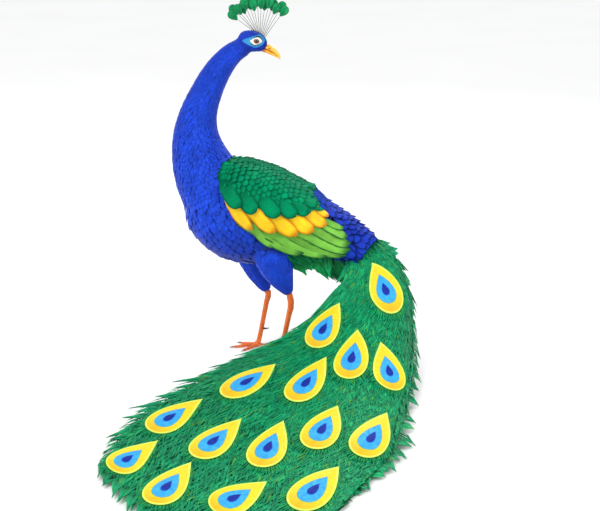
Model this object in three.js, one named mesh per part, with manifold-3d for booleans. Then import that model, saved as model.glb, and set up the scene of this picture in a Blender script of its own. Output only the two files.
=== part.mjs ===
// A life-size Indian peacock (Pavo cristatus) as a still museum model. The cock stands with its head turned
// back over its shoulder, and its train sweeps down from the rump and round in front of its feet.
// Millimetres, +Z up. The breast faces -X, the bill points to +X, and the bird's left side is towards -Y.
// Places are given in the bird's own frame, whose origin is on the floor below the hips. The finished group
// is moved so that the exported origin is the middle of the underside of the whole model.

import * as THREE from "three";
import { mergeVertices } from "three/addons/utils/BufferGeometryUtils.js";
import Module from "manifold-3d";

const wasm = await Module();
wasm.setup();

// ---------------------------------------------------------------- driving dimensions

const GAP = 0.4; // between solids that meet
const LATERAL = new THREE.Vector3(0, 1, 0); // across the bird
const LEFT = -1;
const RIGHT = 1;

// A station of a loft: centre x, y, z, then the half width and the reach to the back and to the belly side.
const TRUNK = [
  [-220, 0, 404, 6, 6, 6],
  [-206, 0, 402, 50, 54, 56],
  [-160, 0, 398, 90, 88, 104],
  [-90, 0, 393, 108, 104, 138],
  [-10, 0, 386, 112, 105, 138],
  [75, 0, 366, 101, 80, 116],
  [150, -5, 340, 80, 62, 84],
  [208, -22, 312, 62, 50, 60],
  [240, -36, 290, 50, 46, 46],
];
const RUMP_FROM = 0.71; // share of the trunk's stations at which the rump begins

const NECK = [
  [-60, 0, 805, 26, 20, 26],
  [-94, 0, 785, 29, 26, 29],
  [-131, 0, 743, 34, 34, 34],
  [-160, 0, 688, 40, 40, 40],
  [-179, 0, 634, 48, 47, 49],
  [-184, 0, 574, 62, 60, 63],
  [-166, 0, 500, 80, 78, 83],
  [-126, 0, 424, 94, 90, 98],
];
const NECK_CUTS = [0.1, 0.33, 0.56, 0.75]; // where the neck is parted, from the head down

// The head's own frame: its origin lies between the eyes, +a runs to the bill and +b to the crown.
const HEAD_AT = new THREE.Vector3(-36, 0, 818);
const HEAD_PITCH = THREE.MathUtils.degToRad(18);
const HEAD_SIZE = 1.13; // a large old cock, against the average skull that the stations below describe
const HEAD = [
  [-38, -7, 3, 3, 3],
  [-34, -6, 13, 13, 14],
  [-24, -3, 19, 20, 21],
  [-10, -1, 21.5, 23, 23.5],
  [3, 0, 21, 22, 23.5],
  [13, -1.5, 17.5, 18, 20],
  [21, -4, 13, 12.5, 15],
  [26, -5.5, 9.5, 8.5, 10.5],
];
const BILL_UPPER = [
  [20, -5, 10.5, 9.6, 3],
  [30, -5.5, 8.6, 8.6, 2.6],
  [41, -7.5, 6.8, 7.2, 2.6],
  [51, -11, 4.8, 5.4, 2.6],
  [58, -15.5, 2.8, 3.6, 2.2],
  [62, -20.5, 0.7, 1.2, 0.9],
];
const BILL_LOWER = [
  [20, -10.5, 9.2, 3, 5.4],
  [32, -12, 7.2, 2.6, 4.4],
  [44, -14, 4.8, 2.2, 3.4],
  [53, -16.6, 2.4, 1.4, 2],
  [56.5, -18, 0.6, 0.6, 0.7],
];
const EYE_AT = { a: 2, b: 3.5, side: 12.8 };
const EYE_RADIUS = 8.8;

const CREST = { root: 5, spread: 22, shafts: 8, length: 66, back: -46, front: 38, fan: [11.5, 9, 1.8] };

// The folded wing's outer surface follows this fuller loft, and each layer of feathers stands further out.
const WING_BODY = [
  [-172, 0, 458, 50, 54, 52],
  [-128, 0, 444, 96, 76, 96],
  [-62, 0, 426, 120, 84, 150],
  [18, 0, 396, 123, 84, 155],
  [98, -2, 353, 110, 68, 128],
  [170, -10, 320, 87, 60, 86],
  [238, -34, 288, 54, 46, 48],
];
const WING_FULLNESS = 2.2; // the exponent of that loft's rounded section
const WING_STARTS = 8; // how far the wing stays from the middle of the back
const WING_DEPTHS = { coverts: 15, band: 11, quills: 7 };

// Leg by leg: where the ankle joint and the ball of the foot are, and how far down the thigh's feathers reach.
const ANKLE_HEIGHT = 156;
const THIGH_TOP = 330;
const LEGS = {
  left: { y: -50, side: LEFT, ankle: 49, foot: 17, hem: 188, yaw: 6 },
  right: { y: 50, side: RIGHT, ankle: -10, foot: -40, hem: 160, yaw: -8 },
};
const TOES = [
  { name: "inner", yaw: -34, length: 46, thick: 5.2, joints: 2 },
  { name: "middle", yaw: 0, length: 64, thick: 5.6, joints: 3 },
  { name: "outer", yaw: 32, length: 50, thick: 5, joints: 4 },
  { name: "back", yaw: 168, length: 24, thick: 4.2, joints: 1 },
];
const CLAW_LENGTH = 14;
const SPUR = { height: 52, length: 21, thick: 4 };

// The train is a sheet between three guide lines, from the rump to the tips: the edge that passes in front
// of the feet, the middle, and the outer edge.
const TRAIN_INNER = [
  [200, -56, 292],
  [186, -90, 240],
  [136, -122, 172],
  [50, -144, 114],
  [-42, -146, 66],
  [-140, -214, 48],
  [-276, -374, 34],
  [-346, -528, 20],
  [-366, -664, 8],
];
const TRAIN_MIDDLE = [
  [240, -36, 316],
  [280, -74, 264],
  [286, -142, 198],
  [254, -246, 130],
  [188, -378, 78],
  [112, -530, 44],
  [24, -740, 22],
  [-76, -1010, 9],
];
const TRAIN_OUTER = [
  [250, -4, 322],
  [300, -16, 286],
  [343, -42, 200],
  [356, -88, 108],
  [350, -200, 52],
  [324, -345, 24],
  [274, -574, 14],
  [202, -712, 10],
  [124, -836, 8],
];
const TRAIN_THICK = { root: 26, tip: 7, edge: 2.5 };
const TRAIN_LENGTHS = ["root", "fall", "bend", "sweep", "end"]; // of equal length, from the rump on
const TRAIN_GRID = { along: 4, across: 12, atTips: 24 };
const TRAIN_CUT = 0.0018; // the share of the train's length that each cut takes, to either side
const TRAIN_TIPS = { count: 12, depth: 0.05 };
const TRAIN_TUFTS = { count: 10, depth: 0.09, lean: 0.022 };
const FLOOR_RISE = 3; // the least height of the train's upper side
const SETTLES = 18; // an underside that would hang two thirds of this above the floor sinks to it

const TAIL = { from: 0.015, to: 0.4, spread: 0.62, thick: 6, clearance: 1.2 };
const UNDERTAIL = [
  [70, 0, 292, 46, 30, 28],
  [128, -2, 262, 44, 26, 24],
  [172, -8, 236, 34, 16, 16],
  [212, -16, 208, 10, 4, 4],
];

// ---------------------------------------------------------------- materials

function finish(colour, roughness, metalness = 0) {
  return new THREE.MeshStandardMaterial({ color: colour, roughness, metalness });
}

const materials = {
  blue: finish(0x1f3fb8, 0.4, 0.3),
  rump: finish(0x1b2f9c, 0.4, 0.3),
  coverts: finish(0x0b7a4a, 0.45, 0.2),
  band: finish(0xe8b421, 0.55),
  quills: finish(0x7cb94a, 0.55),
  train: finish(0x0c7d45, 0.5, 0.2),
  tail: finish(0x5b4632, 0.7),
  bill: finish(0xe39a1c, 0.4),
  eye: finish(0x5a2414, 0.1),
  crest: finish(0x14804f, 0.5),
  legs: finish(0xd96414, 0.55),
  claws: finish(0x4a3a2c, 0.4),
};

// ---------------------------------------------------------------- solids

// A closed geometry as a manifold solid that faces outwards.
function solid(geometry) {
  geometry.deleteAttribute("normal");
  geometry.deleteAttribute("uv");
  const merged = mergeVertices(geometry, 1e-3);
  const build = (triVerts) =>
    new wasm.Manifold(
      new wasm.Mesh({ numProp: 3, vertProperties: merged.attributes.position.array, triVerts })
    );
  const triVerts = new Uint32Array(merged.index.array);
  const made = build(triVerts);
  return made.volume() > 0 ? made : build(triVerts.reverse());
}

// A manifold solid as a named mesh.
function mesh(name, body, material) {
  const found = body.getMesh();
  const points = new Float32Array(found.numVert * 3);
  for (let i = 0; i < found.numVert; i++) {
    const first = i * found.numProp;
    points.set(found.vertProperties.subarray(first, first + 3), i * 3);
  }
  const geometry = new THREE.BufferGeometry()
    .setAttribute("position", new THREE.BufferAttribute(points, 3))
    .setIndex(new THREE.BufferAttribute(found.triVerts, 1));
  geometry.computeVertexNormals();
  const made = new THREE.Mesh(geometry, material);
  made.name = name;
  return made;
}

function join(solids) {
  return solids.reduce((all, next) => all.add(next));
}

// A round bar whose points are placed by place(share along, angle, share of the radius).
function bar(around, steps, place) {
  const geometry = new THREE.CylinderGeometry(1, 1, 1, around, steps);
  const at = geometry.attributes.position;
  for (let i = 0; i < at.count; i++) {
    const along = 0.5 - at.getY(i);
    const angle = Math.atan2(at.getZ(i), at.getX(i));
    const point = place(along, angle, Math.hypot(at.getX(i), at.getZ(i)));
    at.setXYZ(i, point.x, point.y, point.z);
  }
  return solid(geometry);
}

// A slab whose points are placed by place(share along, share across, 0 below or 1 above).
function slab(along, across, place) {
  const geometry = new THREE.BoxGeometry(1, 1, 1, along, across, 1);
  const at = geometry.attributes.position;
  for (let i = 0; i < at.count; i++) {
    const point = place(at.getX(i) + 0.5, at.getY(i) + 0.5, at.getZ(i) + 0.5);
    at.setXYZ(i, point.x, point.y, point.z);
  }
  return solid(geometry);
}

// A power of a sine or cosine that keeps its sign: 1 gives a circle, and less a fuller section.
function rounded(value, power) {
  return Math.sign(value) * Math.pow(Math.abs(value), power);
}

// A body through stations, or the stretch of it between two shares of its length, made larger by grow.
function loft(stations, { around = 20, steps = 12, from = 0, to = 1, grow = 0, fullness = 2 } = {}) {
  const centre = new THREE.CatmullRomCurve3(stations.map(([x, y, z]) => new THREE.Vector3(x, y, z)));
  const reach = new THREE.CatmullRomCurve3(
    stations.map(([, , , wide, up, down]) => new THREE.Vector3(wide, up, down))
  );
  return bar(around, steps, (along, angle, radius) => {
    const share = from + (to - from) * along;
    const tangent = centre.getTangent(share);
    const side = LATERAL.clone().addScaledVector(tangent, -LATERAL.dot(tangent)).normalize();
    const up = tangent.clone().cross(side);
    const { x: wide, y: above, z: below } = reach.getPoint(share);
    const across = rounded(Math.cos(angle), 2 / fullness) * radius * (wide + grow);
    const rise = rounded(Math.sin(angle), 2 / fullness) * radius;
    const end = along === 0 ? -grow : along === 1 ? grow : 0;
    return centre
      .getPoint(share)
      .addScaledVector(side, across)
      .addScaledVector(up, rise * ((rise > 0 ? above : below) + grow))
      .addScaledVector(tangent, end);
  });
}

// A tapering curved spike, such as a claw or a spur, from a base point along a heading, bending by drop.
function spike(base, heading, length, thick, drop, { around = 5, steps = 2 } = {}) {
  const bend = new THREE.Vector3(0, 0, -drop);
  const path = new THREE.QuadraticBezierCurve3(
    base,
    base.clone().addScaledVector(heading, length * 0.55),
    base.clone().addScaledVector(heading, length).add(bend)
  );
  return bar(around, steps, (along, angle, radius) => {
    const tangent = path.getTangent(along);
    const side = new THREE.Vector3(0, 0, 1).cross(tangent).normalize();
    const up = tangent.clone().cross(side);
    const size = radius * thick * Math.max(0.09, 1 - along) ** 0.7;
    return path
      .getPoint(along)
      .addScaledVector(side, Math.cos(angle) * size)
      .addScaledVector(up, Math.sin(angle) * size);
  });
}

function heading(degrees) {
  const turn = THREE.MathUtils.degToRad(degrees);
  return new THREE.Vector3(Math.cos(turn), Math.sin(turn), 0);
}

// ---------------------------------------------------------------- head

const headFrame = new THREE.Matrix4()
  .makeTranslation(HEAD_AT.x, HEAD_AT.y, HEAD_AT.z)
  .multiply(new THREE.Matrix4().makeRotationY(HEAD_PITCH));

function headPoint(a, b, side = 0) {
  return new THREE.Vector3(a, side, b).multiplyScalar(HEAD_SIZE).applyMatrix4(headFrame);
}

// Stations given in the head's frame, as stations in the bird's.
function inHead(stations) {
  const sized = (reach) => reach.map((r) => r * HEAD_SIZE);
  return stations.map(([a, b, ...reach]) => [...headPoint(a, b).toArray(), ...sized(reach)]);
}

function skull(grow = 0) {
  return loft(inHead(HEAD), { around: 14, steps: 9, grow });
}

function eyeball(side, grow = 0) {
  const at = headPoint(EYE_AT.a, EYE_AT.b, side * EYE_AT.side);
  const ball = new THREE.SphereGeometry(EYE_RADIUS + grow, 10, 8);
  return solid(ball.rotateX(Math.PI / 2).translate(at.x, at.y, at.z));
}

// The share of the neck's length that the thin cuts take.
const neckLine = new THREE.CatmullRomCurve3(NECK.map(([x, y, z]) => new THREE.Vector3(x, y, z)));
const NECK_GAP = GAP / neckLine.getLength();

function headSolids() {
  const sockets = join([eyeball(LEFT, GAP), eyeball(RIGHT, GAP)]);
  const head = skull().add(neckLength(0));
  const upper = loft(inHead(BILL_UPPER), { around: 10, steps: 7 }).subtract(skull(GAP));
  const upperGrown = loft(inHead(BILL_UPPER), { around: 10, steps: 7, grow: GAP });
  const lower = loft(inHead(BILL_LOWER), { around: 10, steps: 6 }).subtract(upperGrown.add(skull(GAP)));
  return [
    mesh("head", head.subtract(sockets), materials.blue),
    mesh("bill_upper", upper, materials.bill),
    mesh("bill_lower", lower, materials.bill),
    mesh("eye_left", eyeball(RIGHT), materials.eye),
    mesh("eye_right", eyeball(LEFT), materials.eye),
  ];
}

// A fan of bare shafts with a spatula of barbs on each, all growing from one pad on the crown.
function crestSolid() {
  const root = headPoint(CREST.root, 20.5);
  const pad = new THREE.SphereGeometry(1, 7, 4).scale(13, 3.6, 3.6).translate(root.x, root.y, root.z + 1);
  const parts = [solid(pad)];
  for (let i = 0; i < CREST.shafts; i++) {
    const share = i / (CREST.shafts - 1);
    const lean = THREE.MathUtils.degToRad(CREST.back + (CREST.front - CREST.back) * share);
    const foot = root.clone().add(new THREE.Vector3((share - 0.5) * CREST.spread, 0, -3 * Math.abs(2 * share - 1)));
    const tilt = new THREE.Matrix4().makeRotationY(lean).setPosition(foot);
    const shaft = new THREE.CylinderGeometry(0.5, 0.6, CREST.length, 4, 1).rotateX(Math.PI / 2);
    const [wide, high, deep] = CREST.fan;
    const fan = new THREE.SphereGeometry(1, 6, 4).scale(wide, deep, high);
    parts.push(solid(shaft.translate(0, 0, CREST.length / 2).applyMatrix4(tilt)));
    parts.push(solid(fan.translate(0, 0, CREST.length + high * 0.7).applyMatrix4(tilt)));
  }
  return join(parts).subtract(skull(GAP));
}

// ---------------------------------------------------------------- neck and trunk

const breastAndBack = (grow = 0) => loft(TRUNK, { around: 16, steps: 11, to: RUMP_FROM - 0.001, grow });
const rump = (grow = 0) => loft(TRUNK, { around: 16, steps: 3, from: RUMP_FROM + 0.001, grow });
const undertail = (grow = 0) => loft(UNDERTAIL, { around: 9, steps: 4, grow });

// One of the neck's lengths, counted down from the head.
function neckLength(index, grow = 0) {
  const from = index === 0 ? 0 : NECK_CUTS[index - 1] + NECK_GAP;
  const to = index === NECK_CUTS.length ? 1 : NECK_CUTS[index] - NECK_GAP;
  return loft(NECK, { around: 16, steps: index === 0 ? 2 : 4, from, to, grow });
}

// Everything of the body but the legs, wings and train.
function body(grow) {
  const lengths = [0, 1, 2, 3, 4].map((index) => neckLength(index, grow));
  return join([breastAndBack(grow), rump(grow), ...lengths]);
}

function neckSolids() {
  const covered = join([skull(GAP), breastAndBack(GAP)]);
  return ["neck_upper", "neck_middle", "neck_lower"].map((name, i) =>
    mesh(name, neckLength(i + 1).subtract(covered), materials.blue)
  );
}

// ---------------------------------------------------------------- wings

// Each layer's outline, seen from the side, as x and z: a smooth front and top, then a row of feather tips.
const COVERTS_EDGE = [
  [-116, 468],
  [-124, 503],
  [-108, 534],
  [-70, 556],
  [10, 548],
  [80, 500],
  [130, 440],
];
const COVERTS_TIPS = { from: [130, 440], by: [28, 376], to: [-116, 456], count: 6, depth: 12 };
const BAND_TIPS = { from: [156, 400], by: [60, 318], to: [-112, 434], count: 7, depth: 14 };
const QUILLS_EDGE = [
  [-100, 420],
  [-60, 450],
  [60, 440],
  [130, 412],
  [188, 352],
];
const QUILLS_TIPS = { from: [196, 308], by: [62, 268], to: [-100, 420], count: 5, depth: 12 };

// A row of rounded feather tips along a bent line, as outline points.
function tips({ from, by, to, count, depth }) {
  const line = new THREE.QuadraticBezierCurve(
    new THREE.Vector2(...from),
    new THREE.Vector2(...by),
    new THREE.Vector2(...to)
  );
  const points = [];
  const perTip = 3;
  for (let i = 0; i <= count * perTip; i++) {
    const share = i / (count * perTip);
    const swell = Math.abs(Math.sin(Math.PI * count * share)) ** 0.7;
    const tangent = line.getTangent(share);
    const outwards = new THREE.Vector2(-tangent.y, tangent.x);
    points.push(line.getPoint(share).addScaledVector(outwards, swell * depth));
  }
  return points;
}

function smooth(points, steps) {
  return new THREE.SplineCurve(points.map((p) => new THREE.Vector2(...p))).getPoints(steps);
}

// The outline moved outwards by a distance.
function grown(points, distance) {
  return points.map((point, i) => {
    const before = points[(i + points.length - 1) % points.length];
    const after = points[(i + 1) % points.length];
    const along = after.clone().sub(before).normalize();
    return point.clone().addScaledVector(new THREE.Vector2(along.y, -along.x), distance);
  });
}

// Points of an outline, anticlockwise and with no two alike.
function ring(points) {
  const apart = points.filter((p, i) => p.distanceTo(points[(i + 1) % points.length]) > 0.5);
  return THREE.ShapeUtils.area(apart) > 0 ? apart : apart.reverse();
}

const wingOutlines = {
  coverts: ring([...smooth(COVERTS_EDGE, 9), ...tips(COVERTS_TIPS)]),
  band: ring([...smooth([[-112, 434], ...COVERTS_EDGE.slice(2), [156, 400]], 7), ...tips(BAND_TIPS)]),
  quills: ring([...smooth(QUILLS_EDGE, 5), ...tips(QUILLS_TIPS)]),
};

// A prism on one side of the bird, with the outline as its side view.
function sidePrism(outline, side) {
  const reach = 170;
  const block = new THREE.ExtrudeGeometry(new THREE.Shape(outline), {
    depth: reach - WING_STARTS,
    bevelEnabled: false,
    steps: 1,
  });
  block.rotateX(Math.PI / 2).translate(0, side === LEFT ? -WING_STARTS : reach, 0);
  return solid(block);
}

function wingBody(grow) {
  return loft(WING_BODY, { around: 16, steps: 7, grow, fullness: WING_FULLNESS });
}

function wingSolids(name, side, thigh) {
  const inside = join([body(GAP), undertail(GAP), thigh]);
  const made = [];
  let covered = null;
  for (const [layer, outline] of Object.entries(wingOutlines)) {
    const outer = wingBody(WING_DEPTHS[layer]);
    let shell = sidePrism(outline, side).intersect(outer).subtract(inside);
    if (covered) shell = shell.subtract(covered);
    const cut = sidePrism(grown(outline, GAP), side);
    covered = covered ? covered.add(cut) : cut;
    const [largest] = shell.decompose().sort((one, other) => other.volume() - one.volume());
    made.push(mesh(`wing_${name}_${layer}`, largest, materials[layer]));
  }
  return made;
}

// ---------------------------------------------------------------- legs

function thigh({ y, ankle, hem, side }, grow = 0) {
  const height = (share) => THREE.MathUtils.lerp(hem, THIGH_TOP, share);
  const stations = [
    [ankle - 57, y + side * 16, height(1), 42, 56, 52],
    [ankle - 45, y + side * 13, height(0.68), 38, 52, 49],
    [ankle - 30, y + side * 7, height(0.36), 29, 39, 37],
    [ankle - 14, y + side * 2, height(0.12), 19, 23, 22],
    [ankle - 5, y, height(0), 11.5, 12.5, 12],
  ];
  return loft(stations, { around: 10, steps: 5, grow });
}

function shank({ y, ankle, foot, hem }, grow = 0) {
  const at = (share) => ankle + (foot - ankle) * share;
  const stations = [
    [ankle - 5, y, hem - GAP, 8, 8.5, 8.5],
    [ankle, y, Math.min(ANKLE_HEIGHT, hem - 10), 8.2, 9.5, 8.8],
    [at(0.14), y, ANKLE_HEIGHT * 0.86, 6.8, 8, 7.2],
    [at(0.5), y, ANKLE_HEIGHT * 0.5, 5.8, 7.2, 6.4],
    [at(0.85), y, ANKLE_HEIGHT * 0.15, 6.2, 7.2, 6.6],
    [at(1), y, 8, 7.4, 7.6, 7.2],
  ];
  return loft(stations, { around: 7, steps: 7, grow });
}

// A toe's centre line runs out from the ball of the foot and down to the sole.
function toe(leg, { yaw, length, thick, joints }, grow = 0) {
  const along = heading(180 + (yaw + leg.yaw) * -leg.side);
  const base = new THREE.Vector3(leg.foot, leg.y, 9);
  const stations = [];
  const steps = Math.max(2, joints * 2);
  for (let i = 0; i <= steps; i++) {
    const share = i / steps;
    const pad = i % 2 ? 0.88 : 1;
    const size = thick * (1 - 0.34 * share) * pad;
    const height = THREE.MathUtils.lerp(9, size * 0.8, Math.sqrt(share));
    const at = base.clone().addScaledVector(along, length * share).setZ(height);
    stations.push({ at, size });
  }
  const path = new THREE.CatmullRomCurve3(stations.map((s) => s.at));
  const sizes = new THREE.SplineCurve(stations.map((s, i) => new THREE.Vector2(i, s.size)));
  return bar(6, steps, (share, angle, radius) => {
    const tangent = path.getTangent(share);
    const side = new THREE.Vector3(0, 0, 1).cross(tangent).normalize();
    const up = tangent.clone().cross(side);
    const size = radius * (sizes.getPoint(share).y + grow);
    return path
      .getPoint(share)
      .addScaledVector(side, Math.cos(angle) * size)
      .addScaledVector(up, Math.sin(angle) * size)
      .addScaledVector(tangent, share === 1 ? grow : 0);
  });
}

// What lies below the floor is cut away, which leaves the soles flat and level.
function belowFloor() {
  const depth = 60;
  return solid(new THREE.BoxGeometry(4000, 4000, depth).translate(0, 0, -depth / 2));
}

function foot(leg, grow = 0) {
  const ball = new THREE.SphereGeometry(1, 8, 5).scale(10 + grow, 9 + grow, 9 + grow);
  const parts = [solid(ball.translate(leg.foot, leg.y, 8.5)), ...TOES.map((t) => toe(leg, t, grow))];
  return join(parts).subtract(belowFloor());
}

function claw(leg, { yaw, length }) {
  const along = heading(180 + (yaw + leg.yaw) * -leg.side);
  const base = new THREE.Vector3(leg.foot, leg.y, 3.6).addScaledVector(along, length - 1);
  return spike(base, along, CLAW_LENGTH, 2.6, 2.6);
}

function legSolids(name, leg) {
  const footGrown = foot(leg, GAP);
  const shankGrown = shank(leg, GAP);
  const spurBase = new THREE.Vector3(
    THREE.MathUtils.lerp(leg.foot, leg.ankle, SPUR.height / ANKLE_HEIGHT) + 4,
    leg.y - leg.side * 2,
    SPUR.height
  );
  const spurHeading = new THREE.Vector3(0.86, -leg.side * 0.42, 0.1).normalize();
  const spur = spike(spurBase, spurHeading, SPUR.length, SPUR.thick, -3).subtract(shankGrown);
  return [
    mesh(`shank_${name}`, shank(leg).subtract(footGrown), materials.legs),
    mesh(`foot_${name}`, foot(leg), materials.legs),
    mesh(`spur_${name}`, spur, materials.claws),
    ...TOES.map((t) =>
      mesh(`claw_${name}_${t.name}`, claw(leg, t).subtract(footGrown.add(belowFloor())), materials.claws)
    ),
  ];
}

// ---------------------------------------------------------------- train and tail

const guides = [TRAIN_INNER, TRAIN_MIDDLE, TRAIN_OUTER].map(
  (points) => new THREE.CatmullRomCurve3(points.map((p) => new THREE.Vector3(...p)))
);

// A point of the train's upper side. Along runs 0 to 1 from the rump to the tips, and across runs -1 to 1
// from the inner edge to the outer.
function trainPoint(along, across) {
  const [inner, middle, outer] = guides.map((g) => g.getPoint(THREE.MathUtils.clamp(along, 0, 1)));
  return inner
    .multiplyScalar((across * (across - 1)) / 2)
    .addScaledVector(middle, 1 - across * across)
    .addScaledVector(outer, (across * (across + 1)) / 2);
}

function trainNormal(along, across) {
  const step = 0.01;
  const back = Math.min(along, 1 - step);
  const forward = trainPoint(back + step, across).sub(trainPoint(back, across));
  const sideways = trainPoint(back, across + step).sub(trainPoint(back, across - step));
  return forward.cross(sideways).normalize();
}

function trainThickness(along, across) {
  const middle = THREE.MathUtils.lerp(TRAIN_THICK.root, TRAIN_THICK.tip, Math.sqrt(along));
  const shape = Math.sqrt(Math.max(0, 1 - Math.min(1, Math.abs(across)) ** 3));
  return TRAIN_THICK.edge + (middle - TRAIN_THICK.edge) * shape;
}

// Feather tips at the end and tufts of barbs along both edges give the train its ragged outline.
function trainOutline(along, across) {
  const { lerp, smoothstep } = THREE.MathUtils;
  const tip = Math.abs(Math.sin((Math.PI * TRAIN_TIPS.count * (across + 1)) / 2)) ** 0.6;
  const tooth = 1 - Math.abs(2 * ((along * TRAIN_TUFTS.count) % 1) - 1);
  const edge = smoothstep(Math.abs(across), 0.7, 1) * smoothstep(along, 0, 0.2) * tooth;
  const reach = 1 + TRAIN_TUFTS.depth * edge;
  const notch = TRAIN_TIPS.depth * (1 - tip) * smoothstep(along, 0.85, 1);
  return {
    along: along * (1 - notch) + TRAIN_TUFTS.lean * edge,
    across: across * lerp(reach, 1, smoothstep(along, 0.95, 1)),
  };
}

// A point of the train's upper or lower side, kept above the floor.
function trainSheet(along, across, above) {
  const at = trainOutline(along, across);
  const top = trainPoint(at.along, at.across);
  top.z = Math.max(top.z, FLOOR_RISE);
  if (above) return top;
  const normal = trainNormal(at.along, at.across);
  const bottom = top.clone().addScaledVector(normal, -trainThickness(along, across));
  const settled = Math.min(bottom.z, 1.5 * bottom.z - SETTLES);
  bottom.z = Math.min(Math.max(settled, 0), top.z - FLOOR_RISE * 0.6);
  return bottom;
}

function trainSolids() {
  const count = TRAIN_LENGTHS.length;
  const taken = join([body(GAP), undertail(GAP)]);
  return TRAIN_LENGTHS.map((name, i) => {
    const from = i / count + (i > 0 ? TRAIN_CUT : 0);
    const to = (i + 1) / count - (i < count - 1 ? TRAIN_CUT : 0);
    const across = i === count - 1 ? TRAIN_GRID.atTips : TRAIN_GRID.across;
    const piece = slab(TRAIN_GRID.along, across, (u, v, above) =>
      trainSheet(THREE.MathUtils.lerp(from, to, u), 2 * v - 1, above)
    );
    return mesh(`train_${name}`, i === 0 ? piece.subtract(taken) : piece, materials.train);
  });
}

// The true tail: a fan of stiff quills under the train.
function tailSolid() {
  const fan = slab(6, 4, (u, v, above) => {
    const along = THREE.MathUtils.lerp(TAIL.from, TAIL.to, u);
    const across = THREE.MathUtils.lerp(-1, 1, v) * TAIL.spread;
    const depth = trainThickness(along, across) + TAIL.clearance + (above ? 0 : TAIL.thick);
    return trainPoint(along, across).addScaledVector(trainNormal(along, across), -depth);
  });
  return fan.subtract(join([body(GAP), undertail(GAP)]));
}

// ---------------------------------------------------------------- the whole bird

function peacock() {
  const bird = new THREE.Group();
  const breast = breastAndBack().add(neckLength(NECK_CUTS.length));
  bird.add(...headSolids(), mesh("crest", crestSolid(), materials.crest), ...neckSolids());
  bird.add(mesh("trunk", breast, materials.blue), mesh("rump", rump(), materials.rump));
  for (const [name, leg] of Object.entries(LEGS)) {
    const taken = join([body(GAP), undertail(GAP), shank(leg, GAP)]);
    bird.add(mesh(`thigh_${name}`, thigh(leg).subtract(taken), materials.blue), ...legSolids(name, leg));
    bird.add(...wingSolids(name, leg.side, thigh(leg, GAP)));
  }
  const vent = undertail().subtract(body(GAP));
  bird.add(mesh("undertail", vent, materials.train), mesh("tail", tailSolid(), materials.tail));
  bird.add(...trainSolids());
  return bird;
}

// The group is set so that its origin is the middle of its underside.
function standing(bird) {
  const box = new THREE.Box3().setFromObject(bird);
  const middle = box.getCenter(new THREE.Vector3());
  bird.position.set(-middle.x, -middle.y, -box.min.z);
  const model = new THREE.Group();
  model.name = "peacock";
  model.add(bird);
  return model;
}

export default standing(peacock());
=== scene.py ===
import math

import bmesh
import bpy
import numpy as np
from mathutils import Matrix, Vector
from mathutils.bvhtree import BVHTree


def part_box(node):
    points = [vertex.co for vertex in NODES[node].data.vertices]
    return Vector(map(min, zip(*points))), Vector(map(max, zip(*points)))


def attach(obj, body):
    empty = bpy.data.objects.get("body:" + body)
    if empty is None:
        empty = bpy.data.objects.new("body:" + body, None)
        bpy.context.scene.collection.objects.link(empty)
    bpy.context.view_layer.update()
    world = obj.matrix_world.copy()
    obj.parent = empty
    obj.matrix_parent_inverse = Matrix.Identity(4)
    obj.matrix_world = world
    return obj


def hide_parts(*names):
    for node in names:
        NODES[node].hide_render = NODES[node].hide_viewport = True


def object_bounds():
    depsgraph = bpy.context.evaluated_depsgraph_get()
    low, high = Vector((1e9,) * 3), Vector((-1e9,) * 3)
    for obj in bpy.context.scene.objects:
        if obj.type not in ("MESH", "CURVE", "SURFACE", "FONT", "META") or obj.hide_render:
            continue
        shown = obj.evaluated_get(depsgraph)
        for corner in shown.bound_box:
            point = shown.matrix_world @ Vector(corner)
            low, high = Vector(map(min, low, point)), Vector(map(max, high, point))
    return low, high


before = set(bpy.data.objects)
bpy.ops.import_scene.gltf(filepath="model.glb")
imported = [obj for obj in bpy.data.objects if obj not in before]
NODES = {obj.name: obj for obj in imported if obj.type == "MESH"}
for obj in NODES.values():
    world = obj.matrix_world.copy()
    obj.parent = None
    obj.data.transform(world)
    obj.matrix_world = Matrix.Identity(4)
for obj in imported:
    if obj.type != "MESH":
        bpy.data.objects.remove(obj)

CAD_BOX = [list(corner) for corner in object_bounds()]
CHANCE = np.random.default_rng(11)
MM = 0.001

# The bird's own frame is in millimetres: breast to -X, floor at 0, its left side to -Y. Its eyes tie it to the shared
# frame.
EYES = {side: np.array([(a + b) / 2 for a, b in zip(*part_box(f"eye_{side}"))]) for side in ("left", "right")}
BETWEEN_EYES = np.array([-32.63, 0, 821.06]) * MM
ORIGIN = (EYES["left"] + EYES["right"]) / 2 - BETWEEN_EYES
ORIGIN[2] = 0.0
ACROSS = np.array([0.0, 1.0, 0.0])
DOWN = np.array([0.0, 0.0, -1.0])
ROUND = 6.283  # one wave of a shader's sine


def bird(points):
    """Places given in the bird's own frame."""
    return np.array(points, float) * MM + ORIGIN


def bird_x(x):
    return x * MM + ORIGIN[0]


def side_view(points):
    """The x and z of places, in the bird's own frame."""
    return ((points - ORIGIN) * 1000)[:, [0, 2]].T


def off_middle(points):
    """How far places lie from the plane between the bird's two sides."""
    return np.abs(points[:, 1] - ORIGIN[1])


def put(name, data):
    """A new object in the scene."""
    made = bpy.data.objects.new(name, data)
    bpy.context.scene.collection.objects.link(made)
    return made


def aim(thing, place, target):
    thing.location = bird(place)
    thing.rotation_euler = (Vector(bird(target)) - thing.location).to_track_quat("-Z", "Y").to_euler()


# ------------------------------------------------------------ camera

SENSOR, VIEW_ANGLE = 36, math.radians(27.43)

camera = put("camera", bpy.data.cameras.new("camera"))
bpy.context.scene.camera = camera
camera.data.sensor_width = SENSOR
camera.data.lens = SENSOR / 2 / math.tan(VIEW_ANGLE / 2)
camera.data.clip_end = 60
aim(camera, [42, -3000, 1245], [72.5, 0, 271])


# ------------------------------------------------------------ meshes and finishes


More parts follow.
